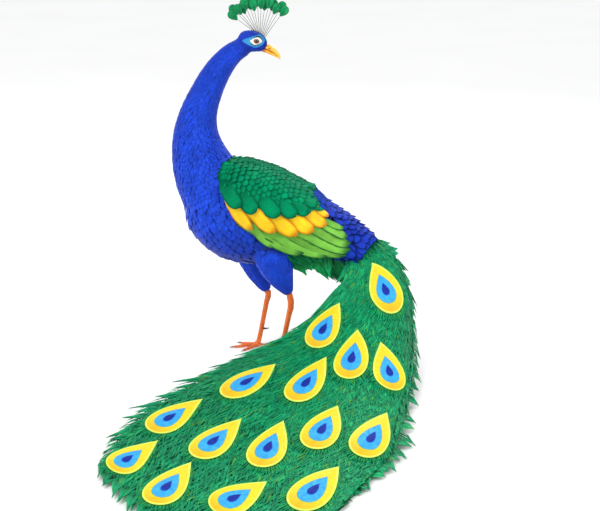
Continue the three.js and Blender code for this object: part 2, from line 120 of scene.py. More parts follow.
def unit(v):
    return v / np.maximum(np.linalg.norm(v, axis=-1, keepdims=True), 1e-9)


def ink(code):
    """A hex colour as the linear colour that shaders take."""
    parts = [int(code[i : i + 2], 16) / 255 for i in (0, 2, 4)]
    return tuple(p / 12.92 if p < 0.04045 else ((p + 0.055) / 1.055) ** 2.4 for p in parts) + (1.0,)


def rgb(code):
    return np.array(ink(code)[:3])


def mesh_of(name, bm):
    """The mesh of a finished bmesh, shaded smooth."""
    mesh = bpy.data.meshes.new(name)
    bm.to_mesh(mesh)
    bm.free()
    mesh.polygons.foreach_set("use_smooth", np.ones(len(mesh.polygons), bool))
    return mesh


def paint(mesh, tints):
    """A colour for each vertex, which the finishes read as Tint."""
    colour = mesh.color_attributes.new("Tint", "FLOAT_COLOR", "POINT")
    colour.data.foreach_set("color", np.column_stack([tints, np.ones(len(tints))]).astype(np.float32).ravel())


def mark(mesh, name, values):
    """A number for each vertex, which a finish reads by its name."""
    mesh.attributes.new(name, "FLOAT", "POINT").data.foreach_set("value", np.asarray(values, np.float32))


def ease(bm, verts):
    bmesh.ops.smooth_vert(bm, verts=verts, factor=0.5, use_axis_x=True, use_axis_y=True, use_axis_z=True)


def lengthwise(bm):
    """Turns a form made round Z so that it runs along Y."""
    bmesh.ops.rotate(bm, verts=bm.verts, matrix=Matrix.Rotation(-math.pi / 2, 3, "X"))


def piece(name, mesh, materials, replaces):
    made = put(name, mesh)
    for material in materials:
        mesh.materials.append(material)
    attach(made, "root")
    if replaces:
        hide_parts(*replaces)
    return made


class Shader:
    """A material and short ways to wire its nodes."""

    def __init__(self, name):
        self.material = bpy.data.materials.new(name)
        self.material.use_nodes = True
        self.tree = self.material.node_tree
        self.tree.nodes.clear()
        out = self.tree.nodes.new("ShaderNodeOutputMaterial")
        self.surface = self.tree.nodes.new("ShaderNodeBsdfPrincipled")
        self.join(self.surface.outputs[0], out.inputs[0])

    def join(self, out, into):
        self.tree.links.new(out, into)

    def node(self, kind, **settings):
        made = self.tree.nodes.new("ShaderNode" + kind)
        for key, value in settings.items():
            setattr(made, key, value)
        return made

    def feed(self, socket, value):
        if isinstance(value, bpy.types.NodeSocket):
            self.join(value, socket)
        else:
            socket.default_value = value

    def set(self, **values):
        """Values or outputs given to the surface's own sockets."""
        for key, value in values.items():
            self.feed(self.surface.inputs[key.replace("_", " ")], value)

    def sum(self, operation, *values):
        made = self.node("Math", operation=operation)
        for socket, value in zip(made.inputs, values):
            self.feed(socket, value)
        return made.outputs[0]

    def span(self, value, low, high, to_low=0.0, to_high=1.0, smooth=True):
        made = self.node("MapRange", interpolation_type="SMOOTHSTEP" if smooth else "LINEAR")
        for socket, given in zip(made.inputs, (value, low, high, to_low, to_high)):
            self.feed(socket, given)
        return made.outputs[0]

    def mix(self, share, one, two, blend="MIX"):
        made = self.node("Mix", data_type="RGBA", blend_type=blend)
        for socket, given in zip((made.inputs[0], made.inputs[6], made.inputs[7]), (share, one, two)):
            self.feed(socket, given)
        return made.outputs[2]

    def place(self):
        return self.node("TexCoord").outputs["Object"]

    def parts(self, vector):
        """The x, y and z of a vector."""
        made = self.node("SeparateXYZ")
        self.join(vector, made.inputs[0])
        return made.outputs

    def noise(self, scale, detail, roughness=0.5):
        made = self.node("TexNoise")
        for name, value in (("Scale", scale), ("Detail", detail), ("Roughness", roughness), ("Vector", self.place())):
            self.feed(made.inputs[name], value)
        return made.outputs[0]

    def mottle(self, scale, detail, one, two, low=0.3, high=0.7):
        """One colour mottled with a second."""
        return self.mix(self.span(self.noise(scale, detail), low, high), ink(one), ink(two))

    def mark(self, name, output="Color"):
        return self.node("Attribute", attribute_name=name).outputs[output]

    def barbs(self, count, slant):
        """Shares across and along a vane, and a wave for the barbs that slant from its shaft."""
        vane = self.parts(self.node("UVMap", uv_map="Vane").outputs[0])
        across = self.sum("ABSOLUTE", self.sum("MULTIPLY_ADD", vane[0], 2.0, -1.0))
        run = self.sum("MULTIPLY_ADD", across, -slant / 4, vane[1])
        wave = self.sum("SINE", self.sum("MULTIPLY", run, count * ROUND))
        return across, vane[1], self.sum("MULTIPLY_ADD", wave, 0.5, 0.5)

    def dull(self, low, high):
        """Roughness that changes a little over the surface."""
        self.set(Roughness=self.span(self.noise(300, 2), 0.3, 0.7, low, high))

    def bump(self, height, strength, distance):
        made = self.node("Bump")
        for name, value in (("Strength", strength), ("Distance", distance), ("Height", height)):
            self.feed(made.inputs[name], value)
        self.set(Normal=made.outputs[0])


def mottled(name, scale, detail, one, two, low=0.3, high=0.7, **values):
    """A finish of one colour mottled with a second."""
    s = Shader(name)
    s.set(Base_Color=s.mottle(scale, detail, one, two, low, high), **values)
    return s


def plumage(name, slant, root, barbs=26, rim=0.0, rim_ink="0a1440", shaft=0.0, shaft_ink="e8dcae", rough=0.5,
            metal=0.1, sheen=0.02, gloss=0.14):
    """Feather: the vane's own tint, barbs slanting from the shaft, a darker root and, if asked, a rim and a shaft."""
    s = Shader(name)
    across, along, lines = s.barbs(barbs, slant)
    shade = s.sum("MULTIPLY", s.span(along, 0.0, 0.75, root, 1.05), s.span(s.noise(38, 2), 0.3, 0.7, 0.86, 1.12))
    shade = s.sum("MULTIPLY", shade, s.span(lines, 0.0, 1.0, 0.84, 1.05, smooth=False))
    grey = s.node("CombineColor")
    for socket in grey.inputs:
        s.join(shade, socket)
    colour = s.mix(1.0, s.mark("Tint"), grey.outputs[0], "MULTIPLY")
    if rim:
        sides = s.sum("MULTIPLY", across, s.span(along, 0.15, 0.4))
        edge = s.sum("MAXIMUM", sides, s.span(along, 0.5, 1.0, smooth=False))
        colour = s.mix(s.sum("MULTIPLY", s.span(edge, 0.62, 0.94), rim), colour, ink(rim_ink))
    if shaft:
        colour = s.mix(s.sum("MULTIPLY", s.span(across, 0.1, 0.03), shaft), colour, ink(shaft_ink))
    s.dull(rough - 0.07, rough + 0.08)
    s.set(Base_Color=colour, Metallic=metal, Sheen_Weight=sheen, Sheen_Roughness=0.35, Specular_IOR_Level=gloss)
    s.bump(lines, 0.5, 0.0004)
    return s.material


# ------------------------------------------------------------ lines and feather patterns


def guide(points):
    """A smooth line through points, read at shares 0 to 1 of its stations."""
    p = bird(points)
    p = np.vstack([2 * p[0] - p[1], p, 2 * p[-1] - p[-2]])

    def read(share):
        share = np.clip(np.atleast_1d(np.asarray(share, float)), 0, 1)
        spans = len(p) - 3
        k = np.minimum((share * spans).astype(int), spans - 1)
        w = (share * spans - k)[:, None]
        a, b, c, d = (p[k + i] for i in range(4))
        steps = (b - a, c - b, d - c)
        before, here, after = (np.sqrt(np.linalg.norm(step, axis=1, keepdims=True)) for step in steps)
        leave = ((b - a) / before - (c - a) / (before + here) + (c - b) / here) * here
        arrive = ((c - b) / here - (d - b) / (here + after) + (d - c) / after) * here
        return b + w * leave + w**2 * (3 * (c - b) - 2 * leave - arrive) + w**3 * (2 * (b - c) + leave + arrive)

    return read


class Line:
    """A smooth line through points, read by length in metres."""

    def __init__(self, points, steps=600):
        self.points = guide(points)(np.linspace(0, 1, steps))
        self.lengths = np.concatenate([[0], np.cumsum(np.linalg.norm(np.diff(self.points, axis=0), axis=1))])
        self.headings = unit(np.gradient(self.points, axis=0))
        self.length = self.lengths[-1]

    def at(self, length):
        def read(values):
            return np.stack([np.interp(length, self.lengths, values[:, i]) for i in range(3)], axis=-1)

        return read(self.points), unit(read(self.headings))

    def nearest(self, points):
        """The length at the line's nearest place to each point."""
        every = 10
        off = ((points[:, None, :] - self.points[None, ::every]) ** 2).sum(2).argmin(1) * every
        return self.lengths[off]


class Pattern:
    """One small closed shape, (across, along, height), that is laid many times."""

    def __init__(self, bm):
        bmesh.ops.recalc_face_normals(bm, faces=bm.faces)
        bm.verts.index_update()
        self.points = np.array([v.co for v in bm.verts], float)
        self.corners = np.array([v.index for f in bm.faces for v in f.verts], int)
        self.sizes = np.array([len(f.verts) for f in bm.faces], int)
        self.finishes = np.array([f.material_index for f in bm.faces], int)
        bm.free()

    def vane(self):
        """Shares across and along at each corner. Each row runs from side to side, whatever its width."""
        across, along = self.points[:, 0].copy(), self.points[:, 1]
        for level in np.unique(np.round(along, 4)):
            row = np.abs(along - level) < 1e-3
            widest = np.abs(across[row]).max()
            across[row] = across[row] / widest if widest > 1e-6 else 0
        return np.stack([across / 2 + 0.5, along], axis=1)[self.corners]

    def patch(self):
        """The outline at each corner, fitted into a square round its middle."""
        reach = max(np.abs(self.points[:, 0]).max(), 1e-6)
        return np.stack([self.points[:, 0] / reach / 2, self.points[:, 1] - 0.5], axis=1)[self.corners]


def outline(root, full, taper, bend, power, blunt):
    """A feather's half-width at shares of its length: from root up to 1 at full, and from taper on down to the tip."""

    def half(share):
        rise = root + (1 - root) * math.sin(min(share / full, 1) * math.pi / 2)
        if share < taper:
            return rise
        fall = max(0.0, 1 - ((share - taper) / (1 - taper)) ** bend) ** power
        return rise * (fall * (1 - blunt) + blunt)

    return half


LEAF_THICKNESS, VANE_THICKNESS = 0.05, 0.0016


def leaf(half, rows=6, sides=4):
    """A flat leaf whose half-width at each share of its length is half(share)."""
    bm = bmesh.new()
    bmesh.ops.create_uvsphere(bm, u_segments=sides, v_segments=rows, radius=1)
    lengthwise(bm)
    for v in bm.verts:
        ring = math.sqrt(max(1 - v.co.y**2, 0))
        share = (v.co.y + 1) / 2
        across, height = (v.co.x / ring, v.co.z / ring) if ring > 1e-4 else (0, 0)
        v.co = (across * half(share), share, height * LEAF_THICKNESS * (0.4 + 0.6 * ring))
    return Pattern(bm)


def vane(half, rows, split=0.0):
    """A long flat vane of half-width half(share), with its barbs parted here and there if split."""
    bm = bmesh.new()
    bmesh.ops.create_grid(bm, x_segments=6, y_segments=rows, size=1)
    for v in bm.verts:
        across, share = v.co.x, (v.co.y + 1) / 2
        notch = 1 - split * max(0.0, math.sin(share * 47 + (1.3 if across > 0 else 0))) ** 6 * abs(across)
        v.co = (across * half(share) * notch, share, VANE_THICKNESS * (1 - across**2))
    bmesh.ops.solidify(bm, geom=bm.faces, thickness=VANE_THICKNESS * 0.6)
    return Pattern(bm)


def blade():
    """One barb: three-sided, widest halfway and drawn out to a point."""
    foot, ridge, sole = 0.55, 0.3, -0.05
    bm = bmesh.new()
    bmesh.ops.create_cone(bm, cap_ends=True, segments=3, radius1=1, radius2=1, depth=1)
    lengthwise(bm)
    top = max(bm.faces, key=lambda f: f.calc_center_median().y)
    tip = bmesh.ops.poke(bm, faces=[top])["verts"][0]
    for v in bm.verts:
        size, along = (foot, 0) if v.co.y < 0 else (1.0, 0.5)
        middle = abs(v.co.x) < 0.1
        if v is tip:
            v.co = (0, 1, 0)
        else:
            v.co = (0, along, ridge * size) if middle else (math.copysign(size, v.co.x), along, sole)
    return Pattern(bm)


def shaft_line(tip=0.25):
    """The quill: a long four-sided taper."""
    bm = bmesh.new()
    bmesh.ops.create_cone(bm, cap_ends=True, segments=4, radius1=1, radius2=tip, depth=1)
    lengthwise(bm)
    long = [e for e in bm.edges if abs(e.verts[0].co.y - e.verts[1].co.y) > 0.5]
    bmesh.ops.subdivide_edges(bm, edges=long, cuts=10)
    bmesh.ops.translate(bm, verts=bm.verts, vec=(0, 0.5, 0))
    return Pattern(bm)


BROAD = leaf(outline(0.35, 0.62, 0.62, 2, 0.5, 0.03))
POINTED = leaf(outline(0.35, 0.5, 0.5, 1.8, 1, 0.05))
SCALE = leaf(outline(0.5, 0.55, 0.55, 2.2, 0.75, 0.03), rows=7, sides=6)
FAN = leaf(outline(0.16, 0.62, 0.62, 2, 0.5, 0.04), rows=16, sides=6)
FLIGHT = vane(outline(0.55, 0.45, 0.72, 2.2, 0.6, 0.03), 22, split=0.08)
COVERT = vane(outline(0.6, 0.5, 0.6, 2.4, 0.6, 0.03), 16)
BARB = blade()
QUILL, CREST_SHAFT = shaft_line(), shaft_line(tip=0.6)


def lay(pattern, path, normals, width, thick, cup=0.0):
    """Points of the pattern laid along each path of three points, as N x V x 3."""
    across, along, height = pattern.points.T
    v = along[None, :, None]
    p0, p1, p2 = (path[:, i, None, :] for i in range(3))
    at = p0 * (2 * (v - 0.5) * (v - 1)) + p1 * (-4 * v * (v - 1)) + p2 * (2 * v * (v - 0.5))
    heading = unit(p0 * (4 * v - 3) + p1 * (4 - 8 * v) + p2 * (4 * v - 1))
    normal = unit(normals[:, 0, None, :] * (1 - v) + normals[:, 1, None, :] * v)
    side = unit(np.cross(heading, normal))
    up = np.cross(side, heading)
    w, t = np.reshape(width, (-1, 1, 1)), np.reshape(thick, (-1, 1, 1))
    a = across[None, :, None]
    return at + side * (a * w) + up * (height[None, :, None] * t - cup * a**2 * w)


def carried(points, line, normals, width, thick, cup):
    """Points given as (across, along, height) taken along a line, and past its end as it left it."""
    across, along, height = points.T
    k = len(line) - 1
    i = np.clip((along * k).astype(int), 0, k - 1)
    w = (along * k - i)[:, None]
    at = line[i] * (1 - w) + line[i + 1] * w
    headings = unit(np.gradient(line, axis=0))
    heading = unit(headings[i] * (1 - w) + headings[i + 1] * w)
    normal = unit(normals[i] * (1 - w) + normals[i + 1] * w)
    side = unit(np.cross(heading, normal))
    up = np.cross(side, heading)
    a = across[:, None]
    return at + side * (a * width) + up * (height[:, None] * thick - cup * a**2 * width)


class Coat:
    """A growing joined mesh of laid patterns. Its finishes are its materials, by number."""

    def __init__(self, name):
        self.name, self.batches = name, []

    def add(self, pattern, points, tint, unwrap, finish=None):
        """points are N x V x 3, with a tint for each of the N or of all points, the N roots on the unwrap of the
        surface below, and which of the coat's finishes they have, if not the pattern's own."""
        if len(points):
            self.batches.append((pattern, points, tint, unwrap, finish))

    def add_one(self, pattern, line, normals, width, thick, tint, root, finish, cup=0.0):
        """The pattern laid once along a line."""
        laid = carried(pattern.points, line, normals, width, thick, cup)[None]
        self.add(pattern, laid, tint, np.array([root]), finish)

    def make(self, materials, slot, replaces=(), floor=None):
        patch_size, crease = 0.003, math.radians(58)
        points, corners, sizes, finishes, vanes, patches, tints = [], [], [], [], [], [], []
        before = 0
        for pattern, placed, tint, unwrap, finish in self.batches:
            n, v = placed.shape[:2]
            points.append(placed.reshape(-1, 3))
            corners.append((pattern.corners[None] + (np.arange(n) * v)[:, None]).ravel() + before)
            sizes.append(np.tile(pattern.sizes, n))
            finishes.append(np.tile(pattern.finishes if finish is None else np.full(len(pattern.sizes), finish), n))
            vanes.append(np.tile(pattern.vane(), (n, 1)))
            patches.append((unwrap[:, None, :] + pattern.patch()[None] * patch_size).reshape(-1, 2))
            tints.append(tint if len(tint) == n * v else np.repeat(tint, v, axis=0))
            before += n * v
        points, corners, sizes = np.concatenate(points), np.concatenate(corners), np.concatenate(sizes)
        if floor is not None:
            points[:, 2] = np.maximum(points[:, 2], floor)
        mesh = bpy.data.meshes.new(self.name)
        mesh.vertices.add(len(points))
        mesh.vertices.foreach_set("co", points.astype(np.float32).ravel())
        mesh.loops.add(len(corners))
        mesh.loops.foreach_set("vertex_index", corners.astype(np.int32))
        mesh.polygons.add(len(sizes))
        mesh.polygons.foreach_set("loop_start", np.concatenate([[0], np.cumsum(sizes)[:-1]]).astype(np.int32))
        mesh.polygons.foreach_set("material_index", np.concatenate(finishes).astype(np.int32))
        mesh.update(calc_edges=True)
        for name, values in (("OFBake", patches), ("Vane", vanes)):
            layer = mesh.uv_layers.new(name=name)
            layer.data.foreach_set("uv", np.concatenate(values).astype(np.float32).ravel())
        paint(mesh, np.concatenate(tints))
        mesh.polygons.foreach_set("use_smooth", np.ones(len(sizes), bool))
        mesh.set_sharp_from_angle(angle=crease)
        return piece(self.name, mesh, materials, replaces)


# ------------------------------------------------------------ the body under the feathers

FLESH = ["head", "neck_upper", "neck_middle", "neck_lower", "trunk", "rump", "undertail", "thigh_left", "thigh_right"]
WINGS = [f"wing_{side}_{layer}" for side in ("left", "right") for layer in ("coverts", "band", "quills")]
HEAD_AT = bird([-36, 0, 818])
PITCH = math.radians(18)
FORWARD = np.array([math.cos(PITCH), 0, -math.sin(PITCH)])
UPWARD = np.array([math.sin(PITCH), 0, math.cos(PITCH)])
HEAD_SIZE = 1.13


def head_place(along, above):
    """A place on the middle of the head, given in the millimetres of an average skull."""
    return HEAD_AT + (FORWARD * along + UPWARD * above) * HEAD_SIZE * MM


def on_head(point):
    """A point's places along and above on the head, in the millimetres of an average skull."""
    off = np.array(point) - HEAD_AT
    return float(off @ FORWARD) / HEAD_SIZE * 1000, float(off @ UPWARD) / HEAD_SIZE * 1000


SPINE = Line([
    [-6, 0, 806], [-22, 0, 813], [-42, 0, 815], [-66, 0, 807], [-94, 0, 785], [-131, 0, 743], [-160, 0, 688],
    [-179, 0, 634], [-184, 0, 574], [-168, 0, 500], [-136, 0, 436], [-82, 0, 398], [-10, 0, 386], [75, 0, 366],
    [150, -5, 340], [208, -22, 312], [244, -37, 288],
])
WING_LINE = Line([
    [-190, 0, 452], [-128, 0, 446], [-62, 0, 424], [18, 0, 396], [98, -2, 356], [170, -10, 326], [238, -34, 290],
])


def fused(nodes, voxel, rounds):
    """Copies of CAD nodes joined without a seam and smoothed."""
    bm = bmesh.new()
    for node in nodes:
        bm.from_mesh(NODES[node].data)
    bmesh.ops.remove_doubles(bm, verts=bm.verts, dist=1e-6)
    copy = put("copy", mesh_of("copy", bm))
    fuse = copy.modifiers.new("fuse", "REMESH")
    fuse.mode, fuse.voxel_size = "VOXEL", voxel
    graph = bpy.context.evaluated_depsgraph_get()
    whole = bpy.data.meshes.new_from_object(copy.evaluated_get(graph), depsgraph=graph)
    bpy.data.objects.remove(copy)
    bm = bmesh.new()
    bm.from_mesh(whole)
    for _ in range(rounds):
        ease(bm, bm.verts)
    return bm


def fused_tree(nodes, voxel, rounds):
    """A search tree over the fused copies."""
    bm = fused(nodes, voxel, rounds)
    bm.normal_update()
    tree = BVHTree.FromBMesh(bm)
    bm.free()
    return tree


def tree_of(nodes):
    """A search tree over CAD nodes, and the node of each of its faces."""
    points, faces, owner = [], [], []
    for node in nodes:
        mesh = NODES[node].data
        first = len(points)
        points += [v.co.copy() for v in mesh.vertices]
        faces += [[first + i for i in f.vertices] for f in mesh.polygons]
        owner += [node] * len(mesh.polygons)
    return BVHTree.FromPolygons(points, faces), owner


flesh_tree, flesh_owner = tree_of(FLESH)
wing_tree, wing_owner = tree_of(WINGS)
ground = fused_tree([n for n in FLESH if not n.startswith("thigh")] + WINGS, 0.0035, 8)
thigh_trees = {side: fused_tree([f"thigh_{side}"], 0.003, 3) for side in ("left", "right")}


def zones(points):
    """The CAD node whose surface each place belongs to. What lies close to a wing is the wing's."""
    close, ahead = 0.012, 0.0045
    made = []
    for p in points:
        _, _, flesh, far = flesh_tree.find_nearest(Vector(p))
        _, _, wing, near = wing_tree.find_nearest(Vector(p))
        made.append(wing_owner[wing] if near < far + ahead and near < close else flesh_owner[flesh])
    return np.array(made)


def winged(zone):
    return np.char.startswith(zone, "wing")


def settle(points, tree):
    """The nearest places on a surface, and its outward normals there."""
    found = [tree.find_nearest(Vector(p)) for p in points]
    return np.array([f[0] for f in found]).reshape(-1, 3), np.array([f[1] for f in found]).reshape(-1, 3)


def inside(points, tree, by):
    near, normal = settle(points, tree)
    return ((points - near) * normal).sum(1) < -by


def cast(tree, start, ray, reach, through=False):
    """The place and normal that a ray meets. through takes it on from the inner side of a shell to the outer side."""
    just_past = 0.0002
    place, normal, _, _ = tree.ray_cast(Vector(start), Vector(ray), reach)
    if through and place is not None and np.dot(normal, ray) < 0:
        place, normal, _, _ = tree.ray_cast(place + Vector(ray) * just_past, Vector(ray), reach)
    return place, normal


def of(chosen, *arrays):
    """The chosen rows of each array."""
    return [x[chosen] for x in arrays]


# ------------------------------------------------------------ markings and painted shade, the same on skin and feathers

# The second blue is painted shade: the darker blue of the lower body and of the thighs towards their hems.
COBALT, SHADED_BLUE, CROWN, SKY = rgb("1744cc"), rgb("0f2c98"), rgb("1a40c2"), rgb("45b0f4")
EMERALD, GOLD, LEAF = rgb("00875a"), rgb("f9cc22"), rgb("7fca4c")
ROYAL, MOSS, UMBER = rgb("1c3ab4"), rgb("0c8a4c"), rgb("6a5138")

# (x, z) in the side view: the front of the rump's collar, the front of the wing's long feathers and the line over which
# its green scales lie.
RUMP_FRONT = np.array([
    (145, 262), (148, 285), (181, 314), (189, 335), (187, 345), (175, 368), (147, 405), (116, 442), (96, 462),
], float)
WING_FRONT = np.array([(34, 300), (3, 315), (-45, 345), (-80, 372), (-102, 420), (-126, 465), (-128, 500)], float)
COVERTS_HEM = np.array([
    (-130, 460), (-108, 462), (-66, 450), (-22, 440), (18, 433), (58, 430), (91, 430), (110, 436), (128, 448),
], float)


def face_place(points):
    """Forward and up from the nearer eye, in metres."""
    off = points - np.array([EYES["left"][0], 0, EYES["left"][2]])
    return off @ FORWARD, off @ UPWARD


def blend(share, one, two):
    share = np.clip(share, 0, 1)[:, None]
    return one * (1 - share) + two * share


def between(one, two, n):
    """n colours, each somewhere between two."""
    return blend(CHANCE.uniform(0, 1, n), one, two)


def almond(points, front, back, tall, pull, lens=False):
    """Below 1 inside an almond round the eye: a lens, or round in front and drawn out to a point behind."""
    outside, middle = 9.0, 0.007
    forward, up = face_place(points)
    reach = np.where(forward > 0, forward / front, -forward / back)
    if lens:
        half = tall * np.clip(1 - reach**1.9, 1e-3, 1)
    else:
        ahead, behind = np.sqrt(np.clip(1 - reach**2, 1e-4, 1)), np.clip(1 - reach, 1e-3, 1) ** 0.75
        half = tall * np.where(forward > 0, ahead, behind)
    return np.where((reach < 1) & (off_middle(points) > middle), np.abs(up - pull * forward) / half, outside)


def sky_patch(points):
    """1 on the sky-blue patch of the face and 0 off it."""
    return np.clip((1.04 - almond(points, 0.0190, 0.0335, 0.0160, 0.28)) / 0.08, 0, 1)


def eye_almond(points):
    """Below 1 on the white skin round the eye, and up to BARE_EDGE on its dark edge."""
    return almond(points, 0.0140, 0.0158, 0.0100, 0.24, lens=True)


BARE_EDGE = 1.24


def bare_skin(points):
    return eye_almond(points) < BARE_EDGE


def behind(points, front):
    """How far each place lies behind a front of the side view, in millimetres."""
    x, z = side_view(points)
    return x - np.interp(z, front[:, 1], front[:, 0])


def in_collar(points, least):
    """True further than least, in metres, behind the front of the rump's collar."""
    return behind(points, RUMP_FRONT) * MM > least


def on_wing(points, zone):
    """True on the wing, apart from the strip of its solids that lies ahead of the golden and light green feathers."""
    return winged(zone) & ((behind(points, WING_FRONT) >= 0) | np.char.endswith(zone, "_coverts"))


def markings_and_shade(points, zone):
    """The plumage's colour at places on the body, with painted shade: the blue grows darker lower down."""
    height = points[:, 2]
    # painted shade: below 0.40 m up the blue darkens towards the shaded blue, lower on the breast and belly
    tint = blend((0.40 - height) / 0.12 * 0.8, COBALT, SHADED_BLUE)
    tint = blend((height - 0.80) / 0.05, tint, CROWN)
    tint = blend(sky_patch(points), tint, SKY)
    wing = winged(zone)
    back = (zone == "trunk") & (off_middle(points) < 0.03) & (points[:, 0] > bird_x(-100)) & (height > 0.40)
    for where, colour in (
        (zone == "rump", ROYAL),
        (zone == "undertail", MOSS),
        (np.char.endswith(zone, "_coverts"), EMERALD),
        (np.char.endswith(zone, "_band"), GOLD * 1.4),
        (np.char.endswith(zone, "_quills"), LEAF * 1.2),
        (wing & in_collar(points, -0.014), ROYAL),
        (wing & ~on_wing(points, zone), COBALT),
        (back, EMERALD),
    ):
        tint = np.where(where[:, None], colour, tint)
    return tint


def varied(tint, amount=0.12):
    """The same tints, each feather a little lighter, darker, warmer or cooler than the next."""
    n = len(tint)
    light = 1 + CHANCE.uniform(-amount, amount, (n, 1))
    hue = 1 + CHANCE.uniform(-amount / 2, amount / 2, (n, 3))
    return np.clip(tint * light * hue, 0, 1)


# ------------------------------------------------------------ the skin

EYE_RADIUS = 0.0088
OPENING = (0.0068, 0.0055)  # half the eye's opening, along and up


def lid_share(forward, up):
    """1 on the edge of the eye's opening, and more outside it."""
    return np.hypot(forward / OPENING[0], up / OPENING[1])


def bell(value, middle, width):
    return math.exp(-(((value - middle) / width) ** 2))


def sculpt_face(bm):
    """Lids round each eye, a socket rim, a brow and the folds of the bare skin."""
    outer, inner = EYE_RADIUS + 0.0009, EYE_RADIUS - 0.0018
    for side, eye in EYES.items():
        out = 1.0 if side == "left" else -1.0
        for v in bm.verts:
            off = np.array(v.co) - eye
            aside = off[1] * out
            forward, up = off @ FORWARD, off @ UPWARD
            reach = math.hypot(forward, up)
            if aside < -0.004 or reach > 0.022:
                continue
            lid = lid_share(forward, up)
            if lid < 1:
                aside = min(aside, math.sqrt(max(inner**2 - reach**2, 1e-8)))
            else:
                if reach < outer:
                    aside = max(aside, math.sqrt(outer**2 - reach**2))
                aside += 0.0007 * bell(lid, 1.12, 0.10) - 0.0006 * bell(lid, 1.42, 0.12)
                aside += 0.0011 * bell(up - 0.1 * forward, 0.0105, 0.0022) * bell(forward, 0, 0.012)
                aside += 0.00012 * math.sin(reach * 5200) * bell(lid, 1.75, 0.35)
            placed = eye + FORWARD * forward + UPWARD * up
            v.co = (placed[0], eye[1] + aside * out, placed[2])


def coat_depth(points):
    """How far the skin lies under the tips of the feathers."""
    body = np.interp(SPINE.nearest(points), [0.0, 0.06, 0.16, 0.36, 0.5], [0.0008, 0.0013, 0.0026, 0.0045, 0.006])
    legs = np.interp(points[:, 2], [0.155, 0.19, 0.27], [0.0006, 0.003, 0.006])
    return np.minimum(body, legs)


def make_skin():
    """One skin under all the feathers, finer at the head and finest round the eyes."""
    bm = fused(FLESH + [w for w in WINGS if not w.endswith("quills")] + ["eye_left", "eye_right"], 0.0034, 7)
    bm.normal_update()
    points, normals = np.array([v.co for v in bm.verts]), np.array([v.normal for v in bm.verts])
    for v, p in zip(bm.verts, points - normals * coat_depth(points)[:, None]):
        v.co = p
    eyes = list(EYES.values())
    for radius, centres in ((0.045, [(eyes[0] + eyes[1]) / 2]), (0.026, eyes), (0.017, eyes)):

        def near(vert):
            return min((vert.co - Vector(centre)).length for centre in centres) < radius

        edges = [e for e in bm.edges if near(e.verts[0]) and near(e.verts[1])]
        bmesh.ops.subdivide_edges(bm, edges=edges, cuts=1, use_grid_fill=True)
        ease(bm, [v for v in bm.verts if near(v)])
    sculpt_face(bm)
    bmesh.ops.triangulate(bm, faces=[f for f in bm.faces if len(f.verts) > 4])
    bmesh.ops.recalc_face_normals(bm, faces=bm.faces)
    mesh = mesh_of("skin", bm)
    points = np.array([v.co for v in mesh.vertices])
    zone = zones(points)
    tint = np.where((winged(zone) & in_collar(points, -0.045))[:, None], ROYAL, markings_and_shade(points, zone))
    # painted shade: the skin takes the plumage's colours at 0.6 of their brightness, as the shade between the feathers
    # over it
    paint(mesh, np.clip(tint * 0.6, 0, 1))
    mark(mesh, "Bare", np.clip(eye_almond(points), 0, 2))
    return mesh


def skin_finish():
    s = Shader("skin")
    almond_share = s.mark("Bare", "Fac")
    bare = s.span(almond_share, 0.98, 0.90)
    edge = s.span(almond_share, BARE_EDGE + 0.12, BARE_EDGE)
    under = s.mix(s.span(s.noise(220, 3), 0.35, 0.65, 0.0, 0.5), s.mark("Tint"), ink("0c1c50"))
    covered = s.mix(edge, under, ink("10233c"))
    s.set(Base_Color=s.mix(bare, covered, s.mottle(420, 4, "f1efe6", "cfd2cf")), Specular_IOR_Level=0.4)
    s.set(Roughness=s.span(bare, 0, 1, 0.7, 0.45))
    s.bump(s.noise(900, 4, 0.6), 0.5, 0.0004)
    return s.material


piece("skin", make_skin(), [skin_finish()], FLESH)


# ------------------------------------------------------------ rows of feathers on the body


def rings(line, lengths, columns, tree, turn=0.0, reach=0.25, through=False):
    """Roots cast from a line in staggered rows: places, normals, headings, gaps along and across, and places on the
    unwrap, without the misses."""
    uneven, least = 0.12, 0.05  # how far a root strays, as a share of the gap, and how squarely its ray must arrive
    at, heading = line.at(lengths)
    side = unit(ACROSS - heading * heading[:, 1:2])
    up = np.cross(heading, side)
    n = len(lengths)
    angles = (np.arange(columns)[None] + 0.5 * (np.arange(n)[:, None] % 2) + turn) / columns * 2 * math.pi
    angles = angles + CHANCE.uniform(-uneven, uneven, angles.shape) / columns * 2 * math.pi
    places = np.full((n, columns, 3), np.nan)
    normals = np.zeros((n, columns, 3))
    for i in range(n):
        for j in range(columns):
            ray = up[i] * math.cos(angles[i, j]) + side[i] * math.sin(angles[i, j])
            place, normal = cast(tree, at[i], ray, reach, through)
            if place is not None and np.dot(normal, ray) > least:
                places[i, j], normals[i, j] = place, normal
    across = np.linalg.norm(np.roll(places, -1, axis=1) - places, axis=2)
    along = np.linalg.norm(np.gradient(places, axis=0), axis=2)
    headings = np.repeat(heading[:, None, :], columns, axis=1)
    headings = unit(headings - normals * (headings * normals).sum(2, keepdims=True))
    rank = np.repeat(lengths[:, None] / line.length, columns, axis=1)
    unwrap = np.stack([(angles / (2 * math.pi)) % 1.0, rank], axis=2)
    good = ~np.isnan(places).any(2) & ~np.isnan(across) & ~np.isnan(along)
    return of(good, places, normals, headings, along, across, unwrap)


